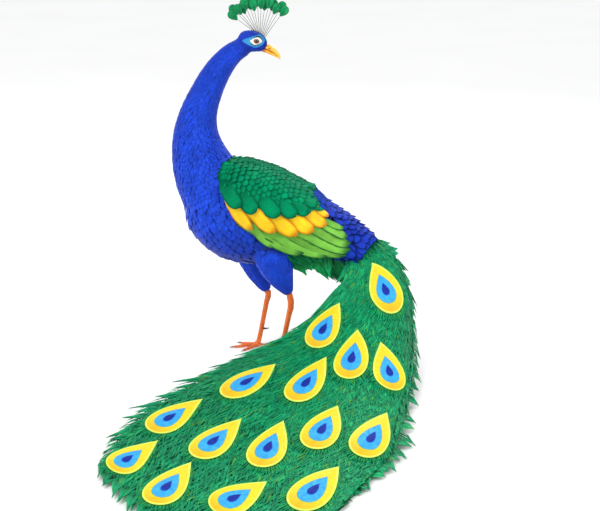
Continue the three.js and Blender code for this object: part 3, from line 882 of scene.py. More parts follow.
def dome(tree, middle, axes, polars, few, more, reach, least, through=False):
    """Roots cast from a middle in staggered circles round the first axis: places, normals and, for each, its share of
    the way round and its circle's number."""
    pole, up, side = axes
    found = []
    for k, polar in enumerate(np.radians(polars)):
        count = int(few + more * math.sin(polar))
        for j in range(count):
            around = 2 * math.pi * (j + 0.5 * (k % 2)) / count
            ray = pole * math.cos(polar) + (up * math.cos(around) + side * math.sin(around)) * math.sin(polar)
            place, normal = cast(tree, middle, ray, reach, through)
            if place is not None and np.dot(normal, ray) > least:
                found.append((place, normal, (around / (2 * math.pi), k)))
    return [np.array(x) for x in zip(*found)]


def rows_between(start, end, gap):
    """Row places from start to end, gap(length) apart."""
    made = [start]
    while made[-1] < end:
        made.append(made[-1] + gap(made[-1]))
    return np.array(made[:-1])


def turned(heading, normal, degrees):
    """Headings turned about the normals."""
    a = np.radians(degrees)[:, None]
    return heading * np.cos(a) + np.cross(normal, heading) * np.sin(a)


def over(way, normals):
    """One way laid into the surface at each normal."""
    return unit(way - normals * (normals @ way)[:, None])


def lay_rows(coat, pattern, places, normals, headings, length, width, tint, unwrap, tree, sink, rise, thick=0.0007,
             cup=0.12, sway=7, painted=False):
    """Feathers from sunk roots to raised tips over a surface. painted ones show the sky-blue patch of the face."""
    n = len(places)
    if not n:
        return
    headings = turned(headings, normals, CHANCE.normal(0, sway, n))
    length = length * CHANCE.uniform(0.9, 1.1, n)
    middle, middle_normal = settle(places + headings * length[:, None] * 0.5, tree)
    tip, tip_normal = settle(places + headings * length[:, None], tree)
    sink, rise = np.reshape(sink, (-1, 1)), np.reshape(rise, (-1, 1))
    bow = middle + middle_normal * (rise * 0.25 - sink * 0.25)
    path = np.stack([places - normals * sink, bow, tip + tip_normal * rise], axis=1)
    laid = lay(pattern, path, np.stack([normals, tip_normal], axis=1), width, thick, cup)
    tint = varied(np.broadcast_to(tint, (n, 3)))
    if painted:
        tint = blend(sky_patch(laid.reshape(-1, 3)), np.repeat(tint, laid.shape[1], axis=0), SKY)
    coat.add(pattern, laid, tint, unwrap)


body_blue = plumage("blue_feathers", barbs=9, slant=1.4, rim=0.25, rim_ink="0b1c78", rough=0.46, metal=0.2, root=0.6)
face_coat, neck_coat, breast_coat = Coat("face_feathers"), Coat("neck_feathers"), Coat("breast_feathers")


def body_gap(length):
    """How far apart the rows lie, from the crown on down."""
    at, gaps = [0, 0.05, 0.12, 0.30, 0.45, 0.6], [0.0026, 0.0030, 0.0048, 0.0075, 0.0100, 0.0115]
    return float(np.interp(length, at, gaps))


def body_rows():
    in_thigh, lids_reach, past_bill, head_end, neck_end, bright = 0.009, 1.42, 0.010, 0.075, 0.40, 0.2
    lengths = rows_between(0.002, SPINE.length * 0.93, body_gap)
    places, normals, headings, along, across, unwrap = rings(SPINE, lengths, 52, ground)
    zone = zones(places)
    row = unwrap[:, 1] * SPINE.length
    tint = markings_and_shade(places, zone)
    plain = (np.isin(zone, FLESH) & (zone != "rump")) | (winged(zone) & ~on_wing(places, zone))
    for tree in thigh_trees.values():
        plain &= ~inside(places, tree, in_thigh)
    lids = (lid_share(*face_place(places)) < lids_reach) & (off_middle(places) > past_bill)
    plain &= ~((zone == "head") & (lids | bare_skin(places) | bare_skin(places + headings * 0.0040)))
    plain &= ~((tint[:, 1] > bright) & (tint[:, 2] < bright))  # where the markings are green
    head = (zone == "head") & (row < head_end)
    width = np.clip(across * 0.68, 0.0017, 0.0105)
    length = np.where(head, np.clip(along * 2.3, 0.0042, 0.0075), np.clip(along * 2.9, 0.006, 0.040))

    def meets_wing(length):
        tips = places + headings * length[:, None]
        return on_wing(tips, zones(tips))

    # feathers that would run on to the wing stop short of it
    length = np.where(meets_wing(length), length * 0.6, length)
    length = np.where(head & (sky_patch(places) > 0), 0.0042, length)
    plain &= ~meets_wing(length) & ~(head & bare_skin(places + headings * (length * 0.85)[:, None]))
    tint[head] = CROWN
    depth = coat_depth(places)
    for coat, chosen, pattern in (
        (face_coat, plain & head, POINTED),
        (neck_coat, plain & ~head & (row < neck_end), POINTED),
        (breast_coat, plain & ~head & (row >= neck_end), BROAD),
    ):
        lay_rows(coat, pattern, *of(chosen, places, normals, headings, length, width, tint, unwrap), ground,
                 depth[chosen] * 1.05, depth[chosen] * 0.05 + 0.0004, painted=coat is face_coat)


def face_rows():
    """The small feathers round the root of the bill, which point back from it."""
    bill_tree, _ = tree_of(["bill_upper", "bill_lower"])
    axes, polars = (FORWARD, UPWARD, ACROSS), np.arange(16, 88, 7.0)
    places, normals, unwrap = dome(ground, head_place(14, 0), axes, polars, few=8, more=40, reach=0.05, least=0.05)
    headings = over(-FORWARD, normals)
    bill_gap = 0.0012
    free = np.array([bill_tree.find_nearest(Vector(p))[3] for p in places]) >= bill_gap
    free &= ~bare_skin(places) & ~bare_skin(places + headings * 0.004)
    places, normals, headings, unwrap = of(free, places, normals, headings, unwrap)
    lay_rows(face_coat, POINTED, places, normals, headings, 0.0046, 0.0016, CROWN, unwrap * [1, 0.004] + [0, 0.002],
             ground, 0.0009, 0.0005, painted=True)


body_rows()
face_rows()
for coat in (face_coat, neck_coat, breast_coat):
    coat.make([body_blue], "blue_plumage")


# ------------------------------------------------------------ scales: green on the back and wings, blue on the rump

back_green = plumage("green_scales", barbs=8, slant=1.6, rim=0.7, rim_ink="024a30", rough=0.6, metal=0.06, sheen=0.0,
                     root=0.5, gloss=0.03)
rump_blue = plumage("rump_scales", barbs=8, slant=1.6, rim=0.85, rim_ink="070d3c", rough=0.55, metal=0.1, sheen=0.0,
                    root=0.5, gloss=0.06)
back_coat, rump_coat = Coat("back_scales"), Coat("rump_scales")
wing_coats = {"left": Coat("wing_left_scales"), "right": Coat("wing_right_scales")}


def above_hem(points):
    """How far each place lies above the wing's row of green lobes, in metres."""
    return points[:, 2] - np.interp(side_view(points)[0], COVERTS_HEM[:, 0], COVERTS_HEM[:, 1]) * MM


def back_rows():
    strip_half, strip_start, strip_end, level = 0.020, -96, 84, 0.3
    lengths = rows_between(0.02, WING_LINE.length * 0.97, lambda s: 0.0100 + 0.012 * s)
    places, normals, headings, _, across, unwrap = rings(WING_LINE, lengths, 42, ground, 0.5)
    zone, x = zones(places), places[:, 0]
    tint = markings_and_shade(places, zone)
    strip = (off_middle(places) < strip_half) & (x > bird_x(strip_start)) & (x < bird_x(strip_end))
    strip &= (normals[:, 2] > level) & (zone != "rump")
    green = np.char.endswith(zone, "_coverts") & (above_hem(places) > 0) & ~strip
    tint[strip] = EMERALD
    aside = np.sign(places[:, 1] - ORIGIN[1])
    headings = turned(headings, normals, -aside * winged(zone) * np.clip(1 - normals[:, 2], 0, 1) * 12)
    length = 0.024 + 0.020 * np.clip((x - bird_x(-120)) / 0.3, 0, 1)
    width = np.clip(across * 0.72, 0.006, 0.0135)
    for coat, chosen in (
        (wing_coats["left"], green & np.char.startswith(zone, "wing_left")),
        (wing_coats["right"], green & np.char.startswith(zone, "wing_right")),
        (back_coat, strip),
    ):
        lay_rows(coat, SCALE, *of(chosen, places, normals, headings, length, width, tint, unwrap), ground,
                 0.0055, 0.0018, thick=0.0008, sway=3)
        # two more rows at the shoulder start at the wing's very edge
        first = chosen & ~winged(zones(places - headings * 0.016)) & (x < bird_x(-60))
        for back, sink in ((0.013, 0.0042), (0.006, 0.0030)):
            at, out = settle(places[first] - headings[first] * back, ground)
            lay_rows(coat, SCALE, at, out, headings[first], 0.021, width[first] * 0.95, tint[first], unwrap[first],
                     ground, sink, 0.0006, thick=0.0008, sway=3)


def rump_rows():
    """Larger scales in closer rows, the last of which lie over the train's root."""
    start = SPINE.nearest(bird([[100, -2, 358]]))[0]
    lengths = rows_between(start, SPINE.length - 0.002, lambda s: 0.0145)
    places, normals, headings, _, across, unwrap = rings(SPINE, lengths, 21, ground)
    x, _, z = places.T
    chosen = in_collar(places, np.where((z > 0.39) & (z < 0.425), -0.007, -0.002))
    chosen |= (zones(places) == "rump") & in_collar(places, -0.012)
    chosen &= z > np.where(x > bird_x(138), 0.2505, 0.262)
    places, normals, headings, across, unwrap = of(chosen, places, normals, headings, across, unwrap)
    lay_rows(rump_coat, SCALE, places, normals, headings, 0.036, np.clip(across * 0.80, 0.0105, 0.0175), ROYAL, unwrap,
             ground, 0.002, 0.0070, thick=0.0026, cup=0.30, sway=4)


def bridge():
    """Scales along the middle of the back, over the furrow between the wings."""
    edge, length, half, dip = 20, 0.026, 0.0085, 0.003

    def height(x, y):
        return ground.ray_cast(Vector(bird([x, y, 600])), Vector(DOWN))[0].z

    stations = np.arange(-88, 92, 6.5)
    sides = np.array([(height(x, -21) + height(x, 21)) / 2 for x in stations])
    sides = np.convolve(np.pad(sides, 2, mode="edge"), np.full(5, 0.2), mode="valid")
    slope = np.gradient(sides, stations * MM)
    for k, (x, level, fall) in enumerate(zip(stations, sides, slope)):
        beside = np.array([-20, -13.3, -6.7, 0, 6.7, 13.3, 20] if k % 2 else [-16.7, -10, -3.3, 3.3, 10, 16.7])
        n = len(beside)
        places = bird(np.column_stack([np.full(n, x), beside, np.zeros(n)]))
        places[:, 2] = [max(level + 0.0005 - dip * (y / edge) ** 2, height(x, y)) for y in beside]
        heading, normal = unit(np.array([1, 0, fall])), unit(np.array([-fall, 0, 1]))
        normals = unit(normal + np.outer(beside / edge, [0, 0.25, 0]))
        tips = places + heading * length + normals * 0.0018
        path = np.stack([places - normals * 0.0035, places + heading * length / 2, tips], axis=1)
        laid = lay(SCALE, path, np.stack([normals, normals], axis=1), half, 0.0008, 0.12)
        unwrap = np.column_stack([0.5 + beside * 0.004, np.full(n, 0.05 + 0.9 * k / len(stations))])
        back_coat.add(SCALE, laid, EMERALD * (0.95 + 0.08 * np.sin(7 * k + 3 * beside))[:, None], unwrap)


back_rows()
rump_rows()
bridge()
back_coat.make([back_green], "green_plumage")
rump_coat.make([rump_blue], "rump_plumage")


# ------------------------------------------------------------ long feathers of the wing

gold_vane = plumage("golden_coverts", slant=1.3, rim=0.9, rim_ink="cc740c", shaft=0.25, shaft_ink="e8a41c", rough=0.45,
                    root=0.7)
leaf_vane = plumage("leaf_quills", barbs=60, slant=1.0, rim=1.0, rim_ink="14602a", shaft=0.15, shaft_ink="a8d860",
                    rough=0.45, root=0.6)
quill_horn = mottled("quill", 160, 2, "8cc452", "74ac40", Roughness=0.35).material


def on_side(route, side, lift):
    """A route of (x, z) in the bird's side view laid on that side of the body, with its normals."""
    away = 0.4
    flat = bird(np.column_stack([route[:, 0], np.zeros(len(route)), route[:, 1]]))
    aside, facing = np.full(len(route), np.nan), np.zeros((len(route), 3))
    for i, (x, _, z) in enumerate(flat):
        place, normal = cast(ground, (x, ORIGIN[1] + side * away, z), -side * ACROSS, away - 0.005)
        if place is not None:
            aside[i], facing[i] = (place[1] - ORIGIN[1]) * side, normal
    share = np.arange(len(route), dtype=float)
    known = ~np.isnan(aside)
    # past the outline of the body the feather runs on as it left it
    last = share[known][-1]
    slope = (aside[known][-1] - aside[known][max(-4, -known.sum())]) / 3
    aside = np.interp(share, share[known], aside[known]) + np.clip(share - last, 0, None) * min(slope, 0)
    facing = np.array([np.interp(share, share[known], facing[known, i]) for i in range(3)]).T
    for _ in range(3):
        aside[1:-1] = (aside[:-2] + 2 * aside[1:-1] + aside[2:]) / 4
        facing[1:-1] = (facing[:-2] + 2 * facing[1:-1] + facing[2:]) / 4
    facing = unit(facing)
    line = np.column_stack([flat[:, 0], ORIGIN[1] + side * aside, flat[:, 2]])
    return line + facing * lift[:, None], facing


def curve(start, by, end, steps):
    t = np.linspace(0, 1, steps)[:, None]
    a, b, c = (np.array(p, float) for p in (start, by, end))
    return a * (1 - t) ** 2 + b * 2 * t * (1 - t) + c * t**2


# Each feather in the side view: (x, z) of its root, of the place it bends towards and of its tip, then half its width
FLIGHTS = [
    ((-86, 424), (-46, 344), (24, 326), 13), ((-80, 430), (-28, 336), (52, 318), 14),
    ((-78, 432), (-4, 326), (82, 314), 15), ((-50, 428), (40, 316), (146, 304), 15),
    ((-15, 425), (88, 312), (186, 303), 15), ((20, 424), (120, 322), (194, 315), 15),
    ((55, 424), (142, 340), (194, 330), 15), ((85, 424), (152, 362), (186, 347), 14),
    ((104, 414), (150, 378), (176, 365), 10),
]
GOLDEN = [
    ((-112, 478), (-88, 414), (-43, 383), 18), ((-74, 468), (-36, 406), (12, 376), 20),
    ((-40, 462), (12, 396), (65, 367), 21), ((2, 460), (58, 396), (104, 372), 21),
    ((44, 462), (98, 406), (134, 381), 20), ((90, 444), (119, 419), (139, 396), 18),
]
LOBES = [
    ((-118, 504), (-104, 458), (-71, 438), 20), ((-82, 494), (-62, 444), (-34, 426), 21),
    ((-38, 484), (-12, 436), (21, 416), 21), ((2, 476), (32, 430), (60, 413), 20),
    ((40, 466), (66, 430), (88, 414), 19), ((70, 458), (92, 438), (109, 424), 16),
    ((80, 447), (97, 439), (111, 429), 12),
]


def wing_feathers(name, side):
    gold, green, lobes = Coat(f"wing_{name}_gold"), Coat(f"wing_{name}_flight"), wing_coats[name]
    steps = 20

    def feather(coat, pattern, plan, low, high, tint, root, cup, order, rise=1.0, roll=0.0, quill=0.0):
        """A feather lifted from low to high over the body. order raises it over its neighbours."""
        start, bend, tip, half = plan
        lift = low + order * 0.25 + (high - low + order * 0.75) * np.linspace(0, 1, steps) ** rise
        line, facing = on_side(curve(start, bend, tip, steps), side, lift)
        if roll:  # its lower edge is raised over the next feather below
            beside = np.cross(np.gradient(line, axis=0), facing)
            facing = unit(facing + roll * unit(beside * np.sign(beside[:, 2:])))
        coat.add_one(pattern, line, facing, half * MM, 1.0, tint, root, 0, cup)
        if quill:
            coat.add_one(QUILL, (line + facing * 0.0017)[:-1], facing[:-1], quill, quill, tint * 1.1, root, 1)

    # the feathers nearer the back lie over those below them
    for i, plan in enumerate(FLIGHTS):
        shade = varied(LEAF[None] * (0.86 + 0.14 * (i % 2)), 0.05)
        feather(green, FLIGHT, plan, -0.0062 if i > 1 else -0.0042, -0.0006, shade, [0.08 + 0.09 * i, 0.3], 0.09,
                0.0009 * i, roll=0.15, quill=0.0004)
    # and the golden ones nearer the breast lie over those behind
    for i, plan in enumerate(GOLDEN):
        feather(gold, COVERT, plan, -0.0085, 0.0044, varied(GOLD[None], 0.04), [0.1 + 0.14 * i, 0.6], 0.16,
                0.0011 * (5 - i))
    for i, plan in enumerate(LOBES):
        feather(lobes, COVERT, plan, -0.0055, 0.0078, varied(EMERALD[None] * 0.95, 0.05), [0.1 + 0.12 * i, 0.8], 0.2,
                0.0008 * (6 - i), rise=1.2)
    gold.make([gold_vane, quill_horn], "golden_plumage", [f"wing_{name}_band"])
    green.make([leaf_vane, quill_horn], "leaf_plumage", [f"wing_{name}_quills"])
    lobes.make([back_green], "green_plumage", [f"wing_{name}_coverts"])


wing_feathers("left", -1)
wing_feathers("right", 1)


# ------------------------------------------------------------ thighs and the loose feathers under the tail

thigh_coat, vent_coat = Coat("thigh_feathers"), Coat("vent_feathers")
thigh_blue = plumage("thigh_feathers", barbs=9, slant=1.4, rim=0.25, rim_ink="0b1c78", metal=0.15, root=0.6)
# painted light: the thighs take the body's blue made 1.15 times lighter
LIT_THIGH_BLUE = COBALT * 1.15
# A line inside each thigh: how far behind the ankle, how far out, and its share of the height from the hem to the hip.
THIGH_LINE, HIP = ((-76, 20, 1.35), (-57, 16, 1.0), (-45, 13, 0.68), (-30, 7, 0.36), (-14, 2, 0.12), (-5, 0, 0.01)), 330


def thigh_unwrap(name, around, rank):
    return np.column_stack([around * 0.45 + (0.5 if name == "left" else 0), rank])


def thigh_rows(name, y, ankle, hem, side):
    tree = thigh_trees[name]
    line = Line([[ankle + off, y + side * out, hem + (HIP - hem) * share] for off, out, share in THIGH_LINE], 120)
    lengths = rows_between(0.004, line.length, lambda s: 0.0085 - 0.0045 * s / line.length)
    found = rings(line, lengths, 32, tree, reach=0.12, through=True)
    places, normals, headings, _, _, unwrap = of(~inside(found[0], ground, 0.006), *found)
    rank = unwrap[:, 1]

    def down(top, hem):
        return np.interp(rank, [0, 1], [top, hem])

    # painted shade: each thigh's blue darkens downwards, from 0.24 m to 0.12 m up
    tint = blend((0.24 - places[:, 2]) / 0.12, LIT_THIGH_BLUE, SHADED_BLUE * 1.5)
    width = np.interp(rank, [0.2, 0.6, 1], [0.0088, 0.0060, 0.0022])
    lay_rows(thigh_coat, POINTED, places, normals, headings, down(0.034, 0.013), width, tint,
             thigh_unwrap(name, unwrap[:, 0], rank), tree, down(0.006, 0.001), down(0.0015, 0.0008), cup=0.1, sway=9)


def thigh_tops(name, y, x, side):
    """Feathers on the round top of a thigh, cast from its middle."""
    lowest, in_body = 0.278, 0.006
    tree, axes = thigh_trees[name], (side * ACROSS, -DOWN, np.array([1.0, 0.0, 0.0]))
    found = dome(tree, bird([x, y, 284]), axes, np.arange(6, 92, 8.0), 4, 30, reach=0.12, least=0.35, through=True)
    free = (found[0][:, 2] > lowest) & ~inside(found[0], ground, in_body)
    places, normals, unwrap = of(free, *found)
    headings = over(np.array([0.1, 0.0, -1.0]), normals)
    lay_rows(thigh_coat, POINTED, places, normals, headings, 0.030, 0.0085, LIT_THIGH_BLUE,
             thigh_unwrap(name, unwrap[:, 0], 0.004 * unwrap[:, 1]), tree, 0.0045, 0.0015, cup=0.1, sway=9)


thigh_rows("left", -50, 49, 188, -1)
thigh_tops("left", -58, 5, -1)
thigh_tops("right", 58, -50, 1)
thigh_rows("right", 50, -10, 160, 1)
thigh_coat.make([thigh_blue], "blue_plumage")

CLEAR_OF_FLOOR = 0.0016


def tufts(coat, places, normals, headings, tints, unwrap, length, width, barbs, spread, lift):
    """A fan of pointed barbs at each root."""
    n = len(places)
    for turn in np.linspace(-spread, spread, barbs):
        heading = turned(headings, normals, turn + CHANCE.normal(0, 5, n))
        reach = (length * (1 - 0.25 * abs(turn) / spread) * CHANCE.uniform(0.85, 1.12, n))[:, None]
        rise = (lift * CHANCE.uniform(0.6, 1.4, n))[:, None]
        middle, tip = heading * reach * 0.5 + normals * rise * 0.4, heading * reach + normals * rise * 0.9
        path = np.stack([places - normals * 0.003, places + middle, places + tip], axis=1)
        laid = lay(BARB, path, np.stack([normals, normals], axis=1), width * CHANCE.uniform(0.85, 1.15, n), width * 0.8)
        coat.add(BARB, laid, varied(tints, 0.2), unwrap)


def lock(coat, root, point, up, spread, barbs, width, tints, unwrap):
    """A pointed lock: barbs from roots spread along a line, drawn together at one point."""
    t = np.linspace(-1, 1, barbs)
    start = root + spread * t[:, None] + CHANCE.normal(0, 0.0008, (barbs, 3))
    short = (point - root) * (0.22 * t**2)[:, None] * CHANCE.uniform(0.6, 1.3, barbs)[:, None]
    end = point - short + CHANCE.normal(0, 0.0010, (barbs, 3))
    middle = (start + end) / 2 + spread * (t * 0.28)[:, None] + up * 0.002
    path = np.stack([start - up * 0.004, middle, end], axis=1)
    path[:, :, 2] = np.maximum(path[:, :, 2], CLEAR_OF_FLOOR)
    laid = lay(BARB, path, np.tile(up, (barbs, 2, 1)), width * CHANCE.uniform(0.85, 1.15, barbs), width * 0.7)
    coat.add(BARB, laid, varied(tints, 0.14), np.tile(unwrap, (barbs, 1)))


def vent_rows():
    tail_tree = fused_tree(["undertail"], 0.003, 3)
    under = Line([[70, 0, 292], [128, -2, 262], [172, -8, 236], [212, -16, 208]], 120)
    belly = Line([[30, 0, 372], [75, 0, 366], [150, -5, 340], [208, -22, 312]], 120)
    for line, tree, columns, facing, fall in ((under, tail_tree, 18, 0.35, 0.25), (belly, ground, 30, -0.35, 0.45)):
        lengths = rows_between(0.004, line.length, lambda s: 0.0095)
        places, normals, headings, _, _, unwrap = rings(line, lengths, columns, tree)
        keep = normals[:, 2] < facing
        if tree is ground:
            keep &= zones(places) == "trunk"
            for thigh in thigh_trees.values():
                keep &= ~inside(places, thigh, 0.001)
        places, normals, headings, unwrap = of(keep, places, normals, headings, unwrap)
        tints = between(MOSS * 1.1, rgb("0a8450"), len(places))
        length = np.interp(unwrap[:, 1], [0, 1], [0.034, 0.05])
        tufts(vent_coat, places, normals, unit(headings + DOWN * fall), tints, unwrap, length, 0.0024, 5, 26, 0.007)


# (x, z) of the roots and tips of the locks that hang behind the thighs, in the side view
SHORT_LOCKS = [
    ((62, 296), (78, 262)), ((78, 292), (92, 240)), ((94, 290), (104, 252)), ((108, 288), (124, 240)),
    ((124, 286), (134, 226)), ((140, 284), (150, 222)), ((154, 286), (164, 240)), ((168, 286), (176, 252)),
    ((90, 302), (112, 262)), ((120, 300), (142, 250)), ((146, 300), (166, 258)), ((70, 304), (88, 272)),
    ((172, 302), (186, 258)), ((180, 298), (198, 244)), ((176, 292), (188, 232)), ((190, 296), (204, 252)),
]
# and of the few long points in which they end, each with its y
LONG_LOCKS = [
    ((60, 278), (90, 234), -54), ((84, 274), (104, 250), -58), ((96, 280), (131, 243), -56),
    ((112, 276), (147, 221), -52), ((126, 280), (156, 236), -46), ((52, 290), (74, 258), -52),
    ((140, 278), (166, 232), -30), ((70, 284), (98, 240), 20), ((110, 280), (138, 228), 30),
    ((158, 280), (184, 226), -44), ((172, 282), (196, 226), -52), ((184, 284), (206, 232), -60),
    ((168, 282), (190, 230), -20), ((186, 282), (206, 236), -38), ((196, 284), (214, 242), -56),
]


def hang(root, tip, spread, barbs, width, pale, unwrap):
    """A lock that hangs under the tail and faces out to its own side."""
    out = np.array([0.25, math.copysign(0.9, root[1]), -0.35])
    tints = between(MOSS, rgb(pale), barbs)
    lock(vent_coat, bird(root), bird(tip), out, np.array(spread), barbs, width, tints, unwrap)


def vent_locks():
    """Bright green locks that hang behind the thighs, longest in the middle, and the points in which they end."""
    for k, ((x, z), (tip_x, tip_z)) in enumerate(SHORT_LOCKS):
        for y in (-58, -44, -28, -8, 14, 34) if x < 144 else (-24, -8, 14, 34):
            y = y + CHANCE.uniform(-5, 5)
            from_x = x + CHANCE.uniform(-5, 5)
            share = 0.75 + 0.25 * (1 - abs(y + 30) / 70) - 0.08 * CHANCE.uniform(0, 1)
            tip = [from_x + (tip_x - x) * share, y * 1.04, z + (tip_z - z) * share]
            hang([from_x, y, z], tip, [0.011, 0.002, 0.004], 13, 0.0026, "16a860", [0.3 + 0.03 * k, 0.5 + y * 0.004])
    for k, ((x, z), (tip_x, tip_z), y) in enumerate(LONG_LOCKS):
        tip = [tip_x, y * 1.05, tip_z]
        hang([x, y, z], tip, [0.014, 0.001, 0.007], 17, 0.0032, "12984f", [0.3 + 0.05 * k, 0.3])


vent_rows()
vent_locks()
train_green = plumage("train_barbs", barbs=4, slant=0.5, root=0.62)
vent_coat.make([train_green], "train_plumage")


# ------------------------------------------------------------ the train

INNER = guide([
    [200, -56, 292], [186, -90, 240], [136, -122, 172], [50, -144, 114], [-42, -146, 66], [-140, -214, 48],
    [-276, -374, 34], [-346, -528, 20], [-366, -664, 8],
])
MIDDLE = guide([
    [240, -36, 316], [280, -74, 264], [286, -142, 198], [254, -246, 130], [188, -378, 78], [112, -530, 44],
    [24, -740, 22], [-76, -1010, 9],
])
OUTER = guide([
    [250, -4, 322], [300, -16, 286], [343, -42, 200], [356, -88, 108], [350, -200, 52], [324, -345, 24],
    [274, -574, 14], [202, -712, 10], [124, -836, 8],
])
TRAIN_LENGTH, TRAIN_STOP = 1.12, 1.018  # in metres, and how far along barbs reach
FULL_SPREAD = 0.26  # metres per unit of across where the train is wide enough for all its barbs
COAT_FLOOR = 0.0004


def train_top(along, across):
    """Places on the train's upper side: along 0 to 1 from the rump to the tips, across -1 to 1."""
    last, step = 0.999, 0.01
    along, across = np.atleast_1d(along).astype(float), np.atleast_1d(across).astype(float)
    beyond, at = np.maximum(along - last, 0)[:, None], np.minimum(along, last)
    c = across[:, None]

    def sheet(a):
        return INNER(a) * (c * (c - 1) / 2) + MIDDLE(a) * (1 - c * c) + OUTER(a) * (c * (c + 1) / 2)

    place = sheet(at)
    return place + (place - sheet(at - step)) * beyond / step


def train_frame(along, across):
    """Place, forward and up, with how far the place moves per unit of along and across."""
    step = 0.004
    place = train_top(along, across)
    forward = (train_top(along + step, across) - train_top(along - step, across)) / (2 * step)
    sideways = (train_top(along, across + step) - train_top(along, across - step)) / (2 * step)
    up = unit(np.cross(forward, sideways))
    up = np.where((up[:, 2:] < 0) & (np.abs(up[:, 2:]) > 0.2), -up, up)
    return place, unit(forward), up, np.linalg.norm(forward, axis=1), np.linalg.norm(sideways, axis=1)


def train_spot(along, across):
    """Place, forward and up at a single place."""
    return (x[0] for x in train_frame(along, across)[:3])


def train_unwrap(along, across):
    return np.column_stack([along * 0.95 + 0.02, across * 0.4 + 0.5])


def train_barbs(coat, along, across, turn, length, width, tint, low, high, under):
    """Barbs rooted on the train at (along, across), turned from its run by turn degrees, and lying on it."""
    place, _, up, stretch, spread = train_frame(along, across)

    def gone(degrees, far, stop):
        angle = np.radians(degrees)
        return np.minimum(along + np.cos(angle) * far / stretch, stop), across + np.sin(angle) * far / spread

    to_along, to_across = gone(turn, length, TRAIN_STOP)
    middle = train_top(*gone(turn * 1.25, length * 0.5, (along + TRAIN_STOP) / 2))
    tip = train_top(to_along, to_across)
    tip_up = train_frame(np.minimum(to_along, 0.99), np.clip(to_across, -1.2, 1.2))[2]
    low, high = low[:, None], high[:, None]
    path = np.stack([place + up * low, middle + up * (low * 0.35 + high * 0.65), tip + tip_up * high], axis=1)
    path[:, :, 2] = np.maximum(path[:, :, 2], CLEAR_OF_FLOOR)
    laid = lay(BARB, path, np.stack([up, tip_up], axis=1) * (-1.0 if under else 1.0), width, width * 0.7)
    coat.add(BARB, laid, varied(tint, 0.16), train_unwrap(along, across))


def train_tints(n):
    pick = CHANCE.uniform(0, 1, n)[:, None]
    tint = np.where(pick > 0.80, rgb("18a866"), rgb("0a9660"))
    tint = np.where(pick > 0.97, rgb("4f9e3c"), tint)
    return np.where(pick < 0.25, rgb("078458"), tint)


def streams(coat, lines, gap, length, under=False, stop=0.955):
    """Barbs down both sides of each feather's shaft, thinned where the train is narrow."""
    along, across, side = [], [], []
    for c in lines:
        steps = np.arange(0.02, stop + CHANCE.uniform(-0.02, 0.02), gap / TRAIN_LENGTH)
        steps = steps + CHANCE.uniform(-0.3, 0.3, len(steps)) * gap / TRAIN_LENGTH
        spread = train_frame(steps, np.full(len(steps), c))[4]
        keep = CHANCE.uniform(0, 1, len(steps)) < np.clip(spread / FULL_SPREAD, 0.22, 1)
        for s in (-1, 1):
            along.append(steps[keep])
            across.append(c + CHANCE.normal(0, 0.004, keep.sum()))
            side.append(np.full(keep.sum(), s))
    along, across, side = map(np.concatenate, (along, across, side))
    n = len(along)
    size = np.clip(train_frame(along, across)[4] / FULL_SPREAD, 0.55, 1) * length * CHANCE.uniform(0.8, 1.15, n)
    angle = side * CHANCE.uniform(12, 27, n)
    width = 0.0022 * CHANCE.uniform(0.8, 1.3, n)
    order = CHANCE.uniform(0, 0.003, n)
    low, high, tint = -0.0045 + order, 0.0005 + order, train_tints(n)
    if under:
        low, high = -0.0125 - order, np.maximum(-0.0165 - order, -0.019)
        tint = between(rgb("4a6a3a"), rgb("1f6b45"), n)
    train_barbs(coat, along, across, angle, size, width, tint, low, high, under)


def side_locks(coat, side):
    """Pointed locks that stand off one edge, large and small by turns."""
    first, last, beyond, stop = 0.045, 0.95, 0.027, 0.985
    steps, at = [], first
    while at < last:
        steps.append(at)
        at += 0.017 + 0.013 * CHANCE.uniform(0, 1)
    for k, at in enumerate(steps):
        big = (1.25, 0.4, 0.75, 0.35)[k % 4]
        full = float(np.interp(at, [0, 0.12, 0.3, 1], [0.034, 0.066, 0.072, 0.080])) * (0.62 + 0.5 * big)
        for c, back, out in ((0.93, 0.0, 1.0), (0.80, 0.02, 0.55)):
            place, forward, up = train_spot(at - back, side * c)
            away = unit(place - train_top(at, side * 0.55)[0])
            lean = math.radians(38 + 16 * CHANCE.uniform(-1, 1))
            reach = full * out
            point = place + (forward * math.cos(lean) + away * math.sin(lean)) * reach + up * 0.003
            point[0] = min(point[0], CAD_BOX[1][0] + beyond)
            if at + reach / TRAIN_LENGTH <= stop:
                lock(coat, place, point, up, forward * 0.015, 17, 0.0027, train_tints(17), train_unwrap(at, side))


def fringe(coat):
    """The ragged end of the train."""
    for k, c in enumerate(np.linspace(-0.97, 0.97, 52)):
        end = 0.945 + 0.022 * abs(math.sin(c * 19)) + CHANCE.uniform(-0.008, 0.008)
        place, forward, up = train_spot(end, c)
        tip = train_top(min(end + 0.066 - 0.02 * (k % 3 == 1), TRAIN_STOP), c + 0.03 * math.sin(k * 2.4))[0]
        across = unit(np.cross(up, forward)) * 0.014
        lock(coat, place, tip + up * 0.002, up, across, 15, 0.0024, train_tints(15), train_unwrap(end, c))


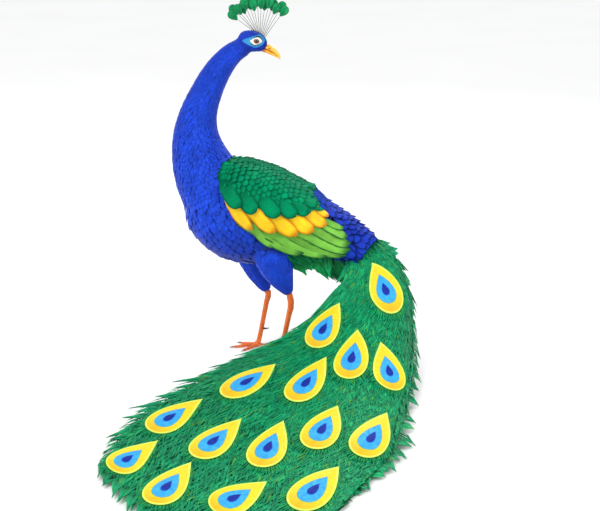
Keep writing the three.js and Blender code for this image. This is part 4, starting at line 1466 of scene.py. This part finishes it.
def train_ground():
    """The mat of lower feathers that the barbs lie on, closed and thin. Its darker green is painted shade under the
    barbs.
    """
    share, depth, ripple, clear = 0.955, 0.0035, 0.0006, 0.0006
    bm = bmesh.new()
    bmesh.ops.create_grid(bm, x_segments=36, y_segments=90, size=1)
    across = np.array([v.co.x for v in bm.verts]) * share
    along = (np.array([v.co.y for v in bm.verts]) + 1) / 2 * share + 0.004
    place, _, up, _, _ = train_frame(along, across)
    for v, p in zip(bm.verts, place - up * (depth + ripple * np.sin(across * 90))[:, None]):
        v.co = p
    bmesh.ops.solidify(bm, geom=bm.faces, thickness=0.010)
    for v in bm.verts:
        v.co.z = max(v.co.z, clear)
    bmesh.ops.recalc_face_normals(bm, faces=bm.faces)
    return mesh_of("train_ground", bm)


left_barbs, right_barbs = Coat("train_barbs_left"), Coat("train_barbs_right")
edges, lower = Coat("train_edges"), Coat("train_underside")
streams(left_barbs, np.linspace(-0.97, 0.0, 34), 0.0062, 0.056)
streams(right_barbs, np.linspace(0.029, 0.97, 33), 0.0062, 0.056)
side_locks(edges, -1)
side_locks(edges, 1)
fringe(edges)
streams(lower, np.linspace(-0.86, 0.86, 22), 0.012, 0.05, under=True, stop=0.93)
for coat in (left_barbs, right_barbs, edges, lower):
    coat.make([train_green], "train_plumage", floor=COAT_FLOOR)

# painted shade: the mat's greens are darker than the barbs' greens
mat = mottled("train_ground", 70, 4, "056a44", "0b8453", 0.35, 0.65, Roughness=0.65, Specular_IOR_Level=0.2)
mat.bump(mat.noise(400, 3), 0.6, 0.001)
TRAIN_NODES = [f"train_{part}" for part in ("root", "fall", "bend", "sweep", "end")]
piece("train_ground", train_ground(), [mat.material], TRAIN_NODES)


# ------------------------------------------------------------ the eyes of the train

EYE_HALF = 0.240


def drop(angle, start, end, half):
    """A teardrop's outline, pointed at start and round at end, as (across, along)."""
    middle, reach = (start + end) / 2, (end - start) / 2
    return half * math.sin(angle) * abs(math.sin(angle / 2)) ** 1.15 * 1.338, middle - reach * math.cos(angle)


RINGS = [  # start, end, half-width and height of each ring's outline, from the rim in, as shares of the length
    (0.000, 1.000, EYE_HALF, 0.000),
    (0.060, 0.976, 0.219, 0.006),
    (0.285, 0.858, 0.146, 0.008),
    (0.305, 0.846, 0.137, 0.011),
    (0.325, 0.834, 0.129, 0.013),
    (0.470, 0.722, 0.058, 0.014),
    (0.490, 0.708, 0.049, 0.018),
    (0.600, 0.670, 0.018, 0.019),
]
RING_FINISHES = [0, 1, 2, 3, 3, 4, 5]


def eye_pattern():
    """An eye of the train: rings of barbs of different colours, from the golden rim to the dark heart."""
    bm = bmesh.new()
    bmesh.ops.create_circle(bm, cap_ends=True, segments=48, radius=1)
    face = bm.faces[:][0]
    loops = [list(face.verts)]
    for finish in RING_FINISHES:
        for f in bmesh.ops.inset_individual(bm, faces=[face], thickness=0.1, depth=0)["faces"]:
            f.material_index = finish
        loops.append(list(face.verts))
    face.material_index = RING_FINISHES[-1]
    for loop, (start, end, half, height) in zip(loops, RINGS):
        for v in loop:
            v.co = (*drop(math.atan2(v.co.x, -v.co.y), start, end, half), height)
    bmesh.ops.poke(bm, faces=[face])
    bmesh.ops.recalc_face_normals(bm, faces=bm.faces)
    if sum(f.normal.z for f in bm.faces) < 0:
        bmesh.ops.reverse_faces(bm, faces=bm.faces)
    bmesh.ops.solidify(bm, geom=bm.faces, thickness=0.007)
    return Pattern(bm)


def eye_finish(name, light, dark, metal, end=None):
    s = Shader(name)
    _, along, lines = s.barbs(30, 1.2)
    share = s.sum("MULTIPLY_ADD", s.span(s.noise(120, 3), 0.3, 0.7), 0.6, s.sum("MULTIPLY", lines, 0.4))
    colour = s.mix(share, ink(dark), ink(light))
    if end:
        # painted shade: towards the eye's round end the colour turns to the end ink
        colour = s.mix(s.span(along, 0.66, 1.0, 0.0, 0.8), colour, ink(end))
    s.dull(0.34, 0.48)
    s.set(Base_Color=colour, Metallic=metal, Specular_IOR_Level=0.15)
    s.bump(lines, 0.5, 0.0004)
    return s.material


EYE = eye_pattern()
EYE_INKS = [
    eye_finish("eye_rim", "dff06a", "bfdc50", 0.0),
    # the gold ring's orange over its round end is painted shade
    eye_finish("eye_gold", "ffd82e", "fcc824", 0.0, end="f6ac1c"),
    eye_finish("eye_olive", "86b86a", "5c9c70", 0.0),
    eye_finish("eye_sky", "3fb4f2", "2f9ae6", 0.1),
    eye_finish("eye_edge", "2377d6", "1c5cc4", 0.1),
    eye_finish("eye_heart", "1636a8", "0c1f86", 0.1),
]
# where each eye's heart lies on the train (along, across), how far it turns from the train's run, and its length
EYE_PLACES = [
    (0.237, -0.08, 18, 0.168), (0.375, -0.68, 16, 0.173), (0.490, -0.16, 16, 0.187), (0.523, 0.34, 26, 0.190),
    (0.640, -0.70, -5, 0.184), (0.596, -0.35, 5, 0.181), (0.786, -0.82, -15, 0.167), (0.811, -0.52, -10, 0.177),
    (0.794, -0.21, 6, 0.182), (0.726, 0.05, 1, 0.181), (0.730, 0.54, -5, 0.188), (0.920, -0.85, -26, 0.173),
    (0.932, -0.58, -10, 0.175), (0.910, -0.18, -29, 0.150), (0.872, 0.33, -10, 0.173),
]
EYE_HEART, EYE_SIZE, EYE_CUP = 0.57, 0.170, 0.06
TOWARD = unit(np.array([0.0, -0.92, 0.4]))


def lashes(coat, line, face, unwrap, outer, inner, reach, below):
    """Loose barbs all round an eye of the train, rooted under its rim."""
    n, core = 64, np.array([0, 0.62])
    angle = (np.arange(n) + 0.5 * outer) / n * 2 * math.pi + CHANCE.uniform(-0.03, 0.03, n)
    rim = np.array([drop(a, 0.0, 1.0, EYE_HALF) for a in angle])
    out = np.column_stack([np.gradient(-rim[:, 1]), np.gradient(rim[:, 0])])
    out = unit(np.where(((rim - [0, 0.6]) * out).sum(1, keepdims=True) < 0, -out, out))
    heading = unit(out * 0.75 + np.array([0, 0.8]))
    length = reach * CHANCE.uniform(0.75, 1.2, n)[:, None]
    route = []
    for share, sink in ((0.0, below), (0.5, below * 0.9), (1.0, below * 1.3)):
        flat = (rim - core) * inner + core + heading * length * share
        placed = np.column_stack([flat, np.full(n, -sink)])
        route.append(carried(placed, line, face, EYE_SIZE, EYE_SIZE, EYE_CUP))
    tint = train_tints(n) if outer else between(rgb("2f9a44"), rgb("0f8a52"), n)
    laid = lay(BARB, np.stack(route, axis=1), np.tile(face[5], (n, 2, 1)), 0.0019 + 0.0006 * outer, 0.0012)
    coat.add(BARB, laid, varied(tint, 0.1), np.tile(unwrap, (n, 1)))


def train_eyes():
    eyes, shafts = Coat("train_eyes"), Coat("train_shafts")
    for along, across, turn, length in EYE_PLACES:
        stretch, spread = train_frame(along, across)[3:]
        share = np.linspace(0, 1, 11)
        off = (share - EYE_HEART) * length
        steps = along + math.cos(math.radians(turn)) * off / stretch
        columns = across + math.sin(math.radians(turn)) * off / spread
        place, _, up, _, _ = train_frame(steps, columns)
        line = place + up * (0.0085 + 0.007 * (1 - share))[:, None]
        # the plate faces the way its own line lies, turned a little outward
        ahead = unit(np.gradient(line, axis=0))
        face = unit(up + TOWARD * 0.30)
        face = unit(face - ahead * (face * ahead).sum(1, keepdims=True))
        unwrap = train_unwrap(along, across)[0]
        eyes.add_one(EYE, line, face, EYE_SIZE, EYE_SIZE, GOLD[None], unwrap, None, EYE_CUP)
        lashes(shafts, line, face, unwrap, 0, 0.92, 0.11, 0.012)
        lashes(shafts, line, face, unwrap, 1, 0.84, 0.17, 0.026)
        # the shaft that carries it
        first, joint = columns[0] - (columns[2] - columns[0]) * 0.5, columns[2]
        place, _, up, _, _ = train_frame(
            np.linspace(max(0.03, steps[0] - 0.16), steps[2], 20), np.linspace(first, joint, 20)
        )
        rise = np.interp(np.arange(20), [0, 13, 17, 19], [-0.004, 0.001, 0.0115, 0.0120])
        shafts.add_one(QUILL, place + up * rise[:, None], up, 0.0008, 0.0008, LEAF[None], unwrap, 1)
    eyes.make(EYE_INKS, "train_plumage", floor=COAT_FLOOR)
    shafts.make([train_green, quill_horn], "train_plumage", floor=COAT_FLOOR)


train_eyes()


# ------------------------------------------------------------ the tail under the train

tail_brown = plumage("tail_quills", barbs=90, slant=0.6, rim=0.3, rim_ink="3a2c20", metal=0.0, root=0.75, sheen=0.1)
tail_horn = mottled("tail_shafts", 160, 2, "8d755a", "6c563f", Roughness=0.4).material


def tail_feathers():
    coat = Coat("tail_feathers")
    for k, c in enumerate(np.linspace(-0.62, 0.62, 14)):
        steps = np.linspace(0.02, 0.40 - 0.05 * abs(c), 20)
        place, _, up, _, _ = train_frame(steps, np.linspace(c * 0.6, c, 20))
        depth = 0.0215 + 0.0011 * (k % 4) + np.interp(steps, [0, 0.1, 0.4], [0.006, 0.002, 0.0])
        line, root = place - up * depth[:, None], [0.1 + 0.05 * k, 0.5]
        coat.add_one(FLIGHT, line, -up, 0.017, 1.0, varied(UMBER[None], 0.08), root, 0, 0.06)
        coat.add_one(QUILL, (line - up * 0.0016)[:-1], -up[:-1], 0.0014, 0.0014, UMBER[None], root, 1)
    coat.make([tail_brown, tail_horn], "tail_plumage", ["tail"], COAT_FLOOR)


tail_feathers()


# ------------------------------------------------------------ crest

crest_green = plumage("crest_fans", barbs=5, slant=0.8, rim=0.6, rim_ink="0a5a36", root=0.6)
crest_shaft = mottled("crest_shafts", 200, 2, "5c645c", "363e38", Roughness=0.4).material
CREST_COUNT, FAN_LENGTH = 15, 0.0245


def crest():
    """Shafts in two rows on the crown, each with a fan at its end and loose barbs behind the fan."""
    coat = Coat("crest_feathers")
    t = np.linspace(0, 1, 12)[:, None]
    for k in range(CREST_COUNT):
        share, row = k / (CREST_COUNT - 1), (k % 2) * 2 - 1
        lean = math.radians(-46 + 84 * share)
        tall = 0.062 + 0.004 * ((k * 5) % 3)
        foot = head_place(4, 18.6) + np.array([(share - 0.5) * 0.022, row * 0.0022, -0.003 * abs(2 * share - 1)])
        away = unit(np.array([math.sin(lean), 0.06 * row + 0.02 * math.sin(k * 2.1), math.cos(lean)]))
        beside = np.array([math.cos(lean), 0, -math.sin(lean)])
        bow = beside * 0.004 * math.sin(lean)
        end = foot + away * tall + bow
        crown, _ = cast(ground, foot + np.array([0, 0, 0.03]), DOWN, 0.08)
        if crown is not None:
            foot = np.array([foot[0], foot[1], crown.z - 0.004])
        line = foot + (end - bow - foot) * t + bow * t**2
        facing = np.tile([0.3 * math.sin(k * 1.7), -1.0, 0.1], (12, 1))
        coat.add_one(CREST_SHAFT, line, unit(facing), 0.00075, 0.00075, EMERALD[None], [share, 0.2], 1)
        end = line[-1]
        fan_line = end - away * 0.006 + away * FAN_LENGTH * 1.18 * t
        shade = varied(rgb("15965a")[None], 0.1)
        coat.add_one(FAN, fan_line, unit(facing), FAN_LENGTH * 0.50, FAN_LENGTH * 0.81, shade, [share, 0.7], 0, 0.1)
        around = np.arange(-5, 6)
        n = len(around)
        angle = np.radians(around * 9.0)[:, None]
        reach = (away * np.cos(angle) + beside * np.sin(angle)) * FAN_LENGTH * (0.80 - 0.03 * np.abs(around))[:, None]
        base = end + away * 0.001 - ACROSS * 0.0012
        path = np.stack([base + reach * part for part in (0, 0.5, 1)], axis=1)
        laid = lay(BARB, path, np.tile(facing[:1], (n, 2, 1)), 0.0013, 0.0006)
        coat.add(BARB, laid, varied(np.tile(rgb("0f8a52"), (n, 1))), np.tile([share, 0.9], (n, 1)))
    coat.make([crest_green, crest_shaft], "crest_plumage", ["crest"])


crest()


# ------------------------------------------------------------ bill


def shaped(name, nodes, voxel, rounds, work, material, slot=None, swell=0.0):
    """A piece fused from CAD nodes, swollen and then worked on."""
    bm = fused(nodes, voxel, rounds)
    bm.normal_update()
    for v in bm.verts:
        v.co += v.normal * swell
    if work:
        work(bm)
    bmesh.ops.recalc_face_normals(bm, faces=bm.faces)
    piece(name, mesh_of(name, bm), [material], nodes if slot else ())


def rooted(bm):
    """The root of each half of the bill reaches back under the feathers of the face."""
    for v in bm.verts:
        along, _ = on_head(v.co)
        v.co -= Vector(FORWARD) * 0.0050 * min(max((28 - along) / 3.5, 0.0), 1.0)


def nostrils(bm):
    # Nostril is highest in each slit, which the bill's finish paints dark brown as painted shade in the hollow.
    hollow = bm.verts.layers.float.new("Nostril")
    for v in bm.verts:
        along, above = on_head(v.co)
        slant = 0.12 * (along - 33.5)
        slit = ((along - 33.5) / 3.6) ** 2 + ((above + 4.4 + slant) / 1.25) ** 2
        flap = ((along - 32.5) / 5.5) ** 2 + ((above + 2.2 + slant) / 1.6) ** 2
        if abs(v.co.y - HEAD_AT[1]) > 0.0025:
            v[hollow] = math.exp(-slit * 0.9)
            v.co -= v.normal * (0.0013 * math.exp(-slit * 1.2) - 0.0007 * math.exp(-flap))
    rooted(bm)


def bill_finish():
    s = Shader("bill_horn")
    growth = s.node("TexWave", wave_type="BANDS", bands_direction="X")
    for name, value in (("Scale", 90), ("Distortion", 3), ("Vector", s.place())):
        s.feed(growth.inputs[name], value)
    wave, x = growth.outputs[1], s.parts(s.place())[0]
    tip, root = float(head_place(56, -14)[0]), float(head_place(25, -6)[0])
    base = s.mix(s.span(x, tip - 0.03, tip), s.mottle(110, 3, "fbb41e", "f49d14"), ink("f7bf3a"))
    base = s.mix(s.sum("MULTIPLY", wave, 0.12), base, ink("a85f0a"))
    # painted shade: the bill darkens at its root, where it goes under the face's feathers
    base = s.mix(s.span(x, root - 0.004, root + 0.003, 0.8, 0.0), base, ink("8a4c10"))
    # painted shade: the nostril slits are painted dark brown
    base = s.mix(s.span(s.mark("Nostril", "Fac"), 0.35, 0.75), base, ink("4a2408"))
    s.set(Base_Color=base, Roughness=0.32, Coat_Weight=0.3, Coat_Roughness=0.2)
    s.bump(s.sum("MULTIPLY_ADD", wave, 0.4, s.noise(500, 3)), 0.25, 0.0003)
    return s.material


bill_horn = bill_finish()
mouth = mottled("mouth_lining", 300, 3, "7a3a12", "55240c", Roughness=0.5).material
shaped("bill_top", ["bill_upper"], 0.0007, 5, nostrils, bill_horn, "bill_horn", 0.0004)
shaped("bill_bottom", ["bill_lower"], 0.0007, 4, rooted, bill_horn, "bill_horn", 0.0005)
shaped("mouth_lining", ["bill_upper", "bill_lower"], 0.0016, 4, None, mouth, swell=-0.0008)


# ------------------------------------------------------------ eyes


def eye_glass():
    s = Shader("eye_glass")
    ring = s.mark("Ring", "Fac")
    iris = s.mottle(900, 2, "8f4326", "56210f", 0.35, 0.65)
    iris = s.mix(s.span(ring, 0.48, 0.66), ink("b0603a"), iris)
    colour = s.mix(s.span(ring, 0.44, 0.48), ink("030202"), iris)
    colour = s.mix(s.span(ring, 0.80, 0.90), colour, ink("1a0d08"))
    s.set(Base_Color=colour, Roughness=0.25, Coat_Weight=0.5, Coat_Roughness=0.02, Specular_IOR_Level=0.2)
    return s.material


def make_eye(side):
    """An eyeball with a swollen cornea. Ring is 0 in the pupil's middle and 1 at the iris's rim."""
    iris, off_iris = 0.0066, 2.0
    out = 1.0 if side == "left" else -1.0
    bm = bmesh.new()
    bmesh.ops.create_uvsphere(bm, u_segments=40, v_segments=32, radius=1)
    bmesh.ops.rotate(bm, verts=bm.verts, matrix=Matrix.Rotation(-out * math.pi / 2, 3, "X"))
    ring = []
    for v in bm.verts:
        reach, front = math.hypot(v.co.x, v.co.z), v.co.y * out > 0
        ring.append(reach * EYE_RADIUS / iris if front else off_iris)
        swell = 1.0 + (0.045 * bell(reach, 0, 0.55) if front else 0)
        v.co = Vector(EYES[side]) + v.co * EYE_RADIUS * swell * 0.985
    bmesh.ops.recalc_face_normals(bm, faces=bm.faces)
    mesh = mesh_of(f"eyeball_{side}", bm)
    mark(mesh, "Ring", ring)
    return mesh


glass = eye_glass()
for side in ("left", "right"):
    piece(f"eyeball_{side}", make_eye(side), [glass], [f"eye_{side}"])


# ------------------------------------------------------------ legs, claws and spurs

PLATE, TOE_PLATE = 6.2, 4.2


def scutes(bm):
    """Overlapping plates down the front of the shank and along each toe."""
    for v in bm.verts:
        x, y, z = v.co
        if z > 0.022:
            wave = (z * 1000 / PLATE) % 1.0
            v.co += v.normal * 0.0006 * max(0.0, -v.normal.x) ** 0.5 * (wave - 0.35)
        else:
            wave = (math.hypot(x, y * 1.7) * 1000 / TOE_PLATE) % 1.0
            v.co += v.normal * 0.00035 * max(0.0, v.normal.z) * (wave - 0.4)


def leg_finish():
    s = Shader("leg_scutes")
    cells = s.node("TexVoronoi", feature="DISTANCE_TO_EDGE")
    s.feed(cells.inputs["Scale"], 330)
    s.feed(cells.inputs["Vector"], s.place())
    plate = s.sum("FRACT", s.sum("MULTIPLY", s.parts(s.place())[2], 1000 / PLATE))
    base = s.mix(s.span(cells.outputs[0], 0.08, 0.0), s.mottle(90, 3, "f57a22", "e56414"), ink("b04c10"))
    base = s.mix(s.span(plate, 0.0, 0.16, 0.4, 0.0), base, ink("a84408"))
    s.set(Base_Color=base, Roughness=0.42, Coat_Weight=0.15, Coat_Roughness=0.3)
    s.bump(s.span(cells.outputs[0], 0.0, 0.12), 0.4, 0.0004)
    return s.material


leg_skin = leg_finish()
claw_horn = mottled("claw_horn", 240, 3, "4f4132", "2b231b", Roughness=0.3, Coat_Weight=0.3, Coat_Roughness=0.15)
claw_horn.bump(claw_horn.noise(700, 2), 0.2, 0.0002)
for side in ("left", "right"):
    claws = [f"claw_{side}_{toe}" for toe in ("inner", "middle", "outer", "back")]
    shaped(f"leg_{side}", [f"shank_{side}", f"foot_{side}"], 0.0012, 3, scutes, leg_skin, "leg_scutes")
    shaped(f"spurs_{side}", [f"spur_{side}"], 0.0006, 2, None, claw_horn.material, "claw_horn")
    shaped(f"claws_{side}", claws, 0.0005, 2, None, claw_horn.material, "claw_horn")


# ------------------------------------------------------------ floor and light

bm = bmesh.new()
bmesh.ops.create_grid(bm, x_segments=1, y_segments=1, size=40)
floor = put("floor", mesh_of("floor", bm))
pale = mottled("pale_floor", 1.5, 2, "fcfcfb", "fafaf9", Roughness=0.9, Specular_IOR_Level=0.1)
floor.data.materials.append(pale.material)

world = bpy.data.worlds.new("studio")
bpy.context.scene.world = world
world.use_nodes = True
sky = world.node_tree.nodes["Background"]
sky.inputs[0].default_value = (0.985, 0.992, 1.0, 1)
sky.inputs[1].default_value = 0.98
bpy.context.scene.view_settings.view_transform = "Standard"


def lamp(name, place, target, size, power, colour=(1, 1, 1)):
    light = bpy.data.lights.new(name, "AREA")
    light.shape, light.size, light.energy, light.color = "DISK", size, power, colour
    aim(put(name, light), place, target)


lamp("key", [-1500, -2300, 2900], [0, -200, 350], 1.8, 56, (1, 0.98, 0.95))
lamp("side", [2300, -1500, 1700], [0, -200, 350], 2.0, 16)
lamp("rim", [700, 2300, 2200], [0, 0, 400], 1.6, 22)
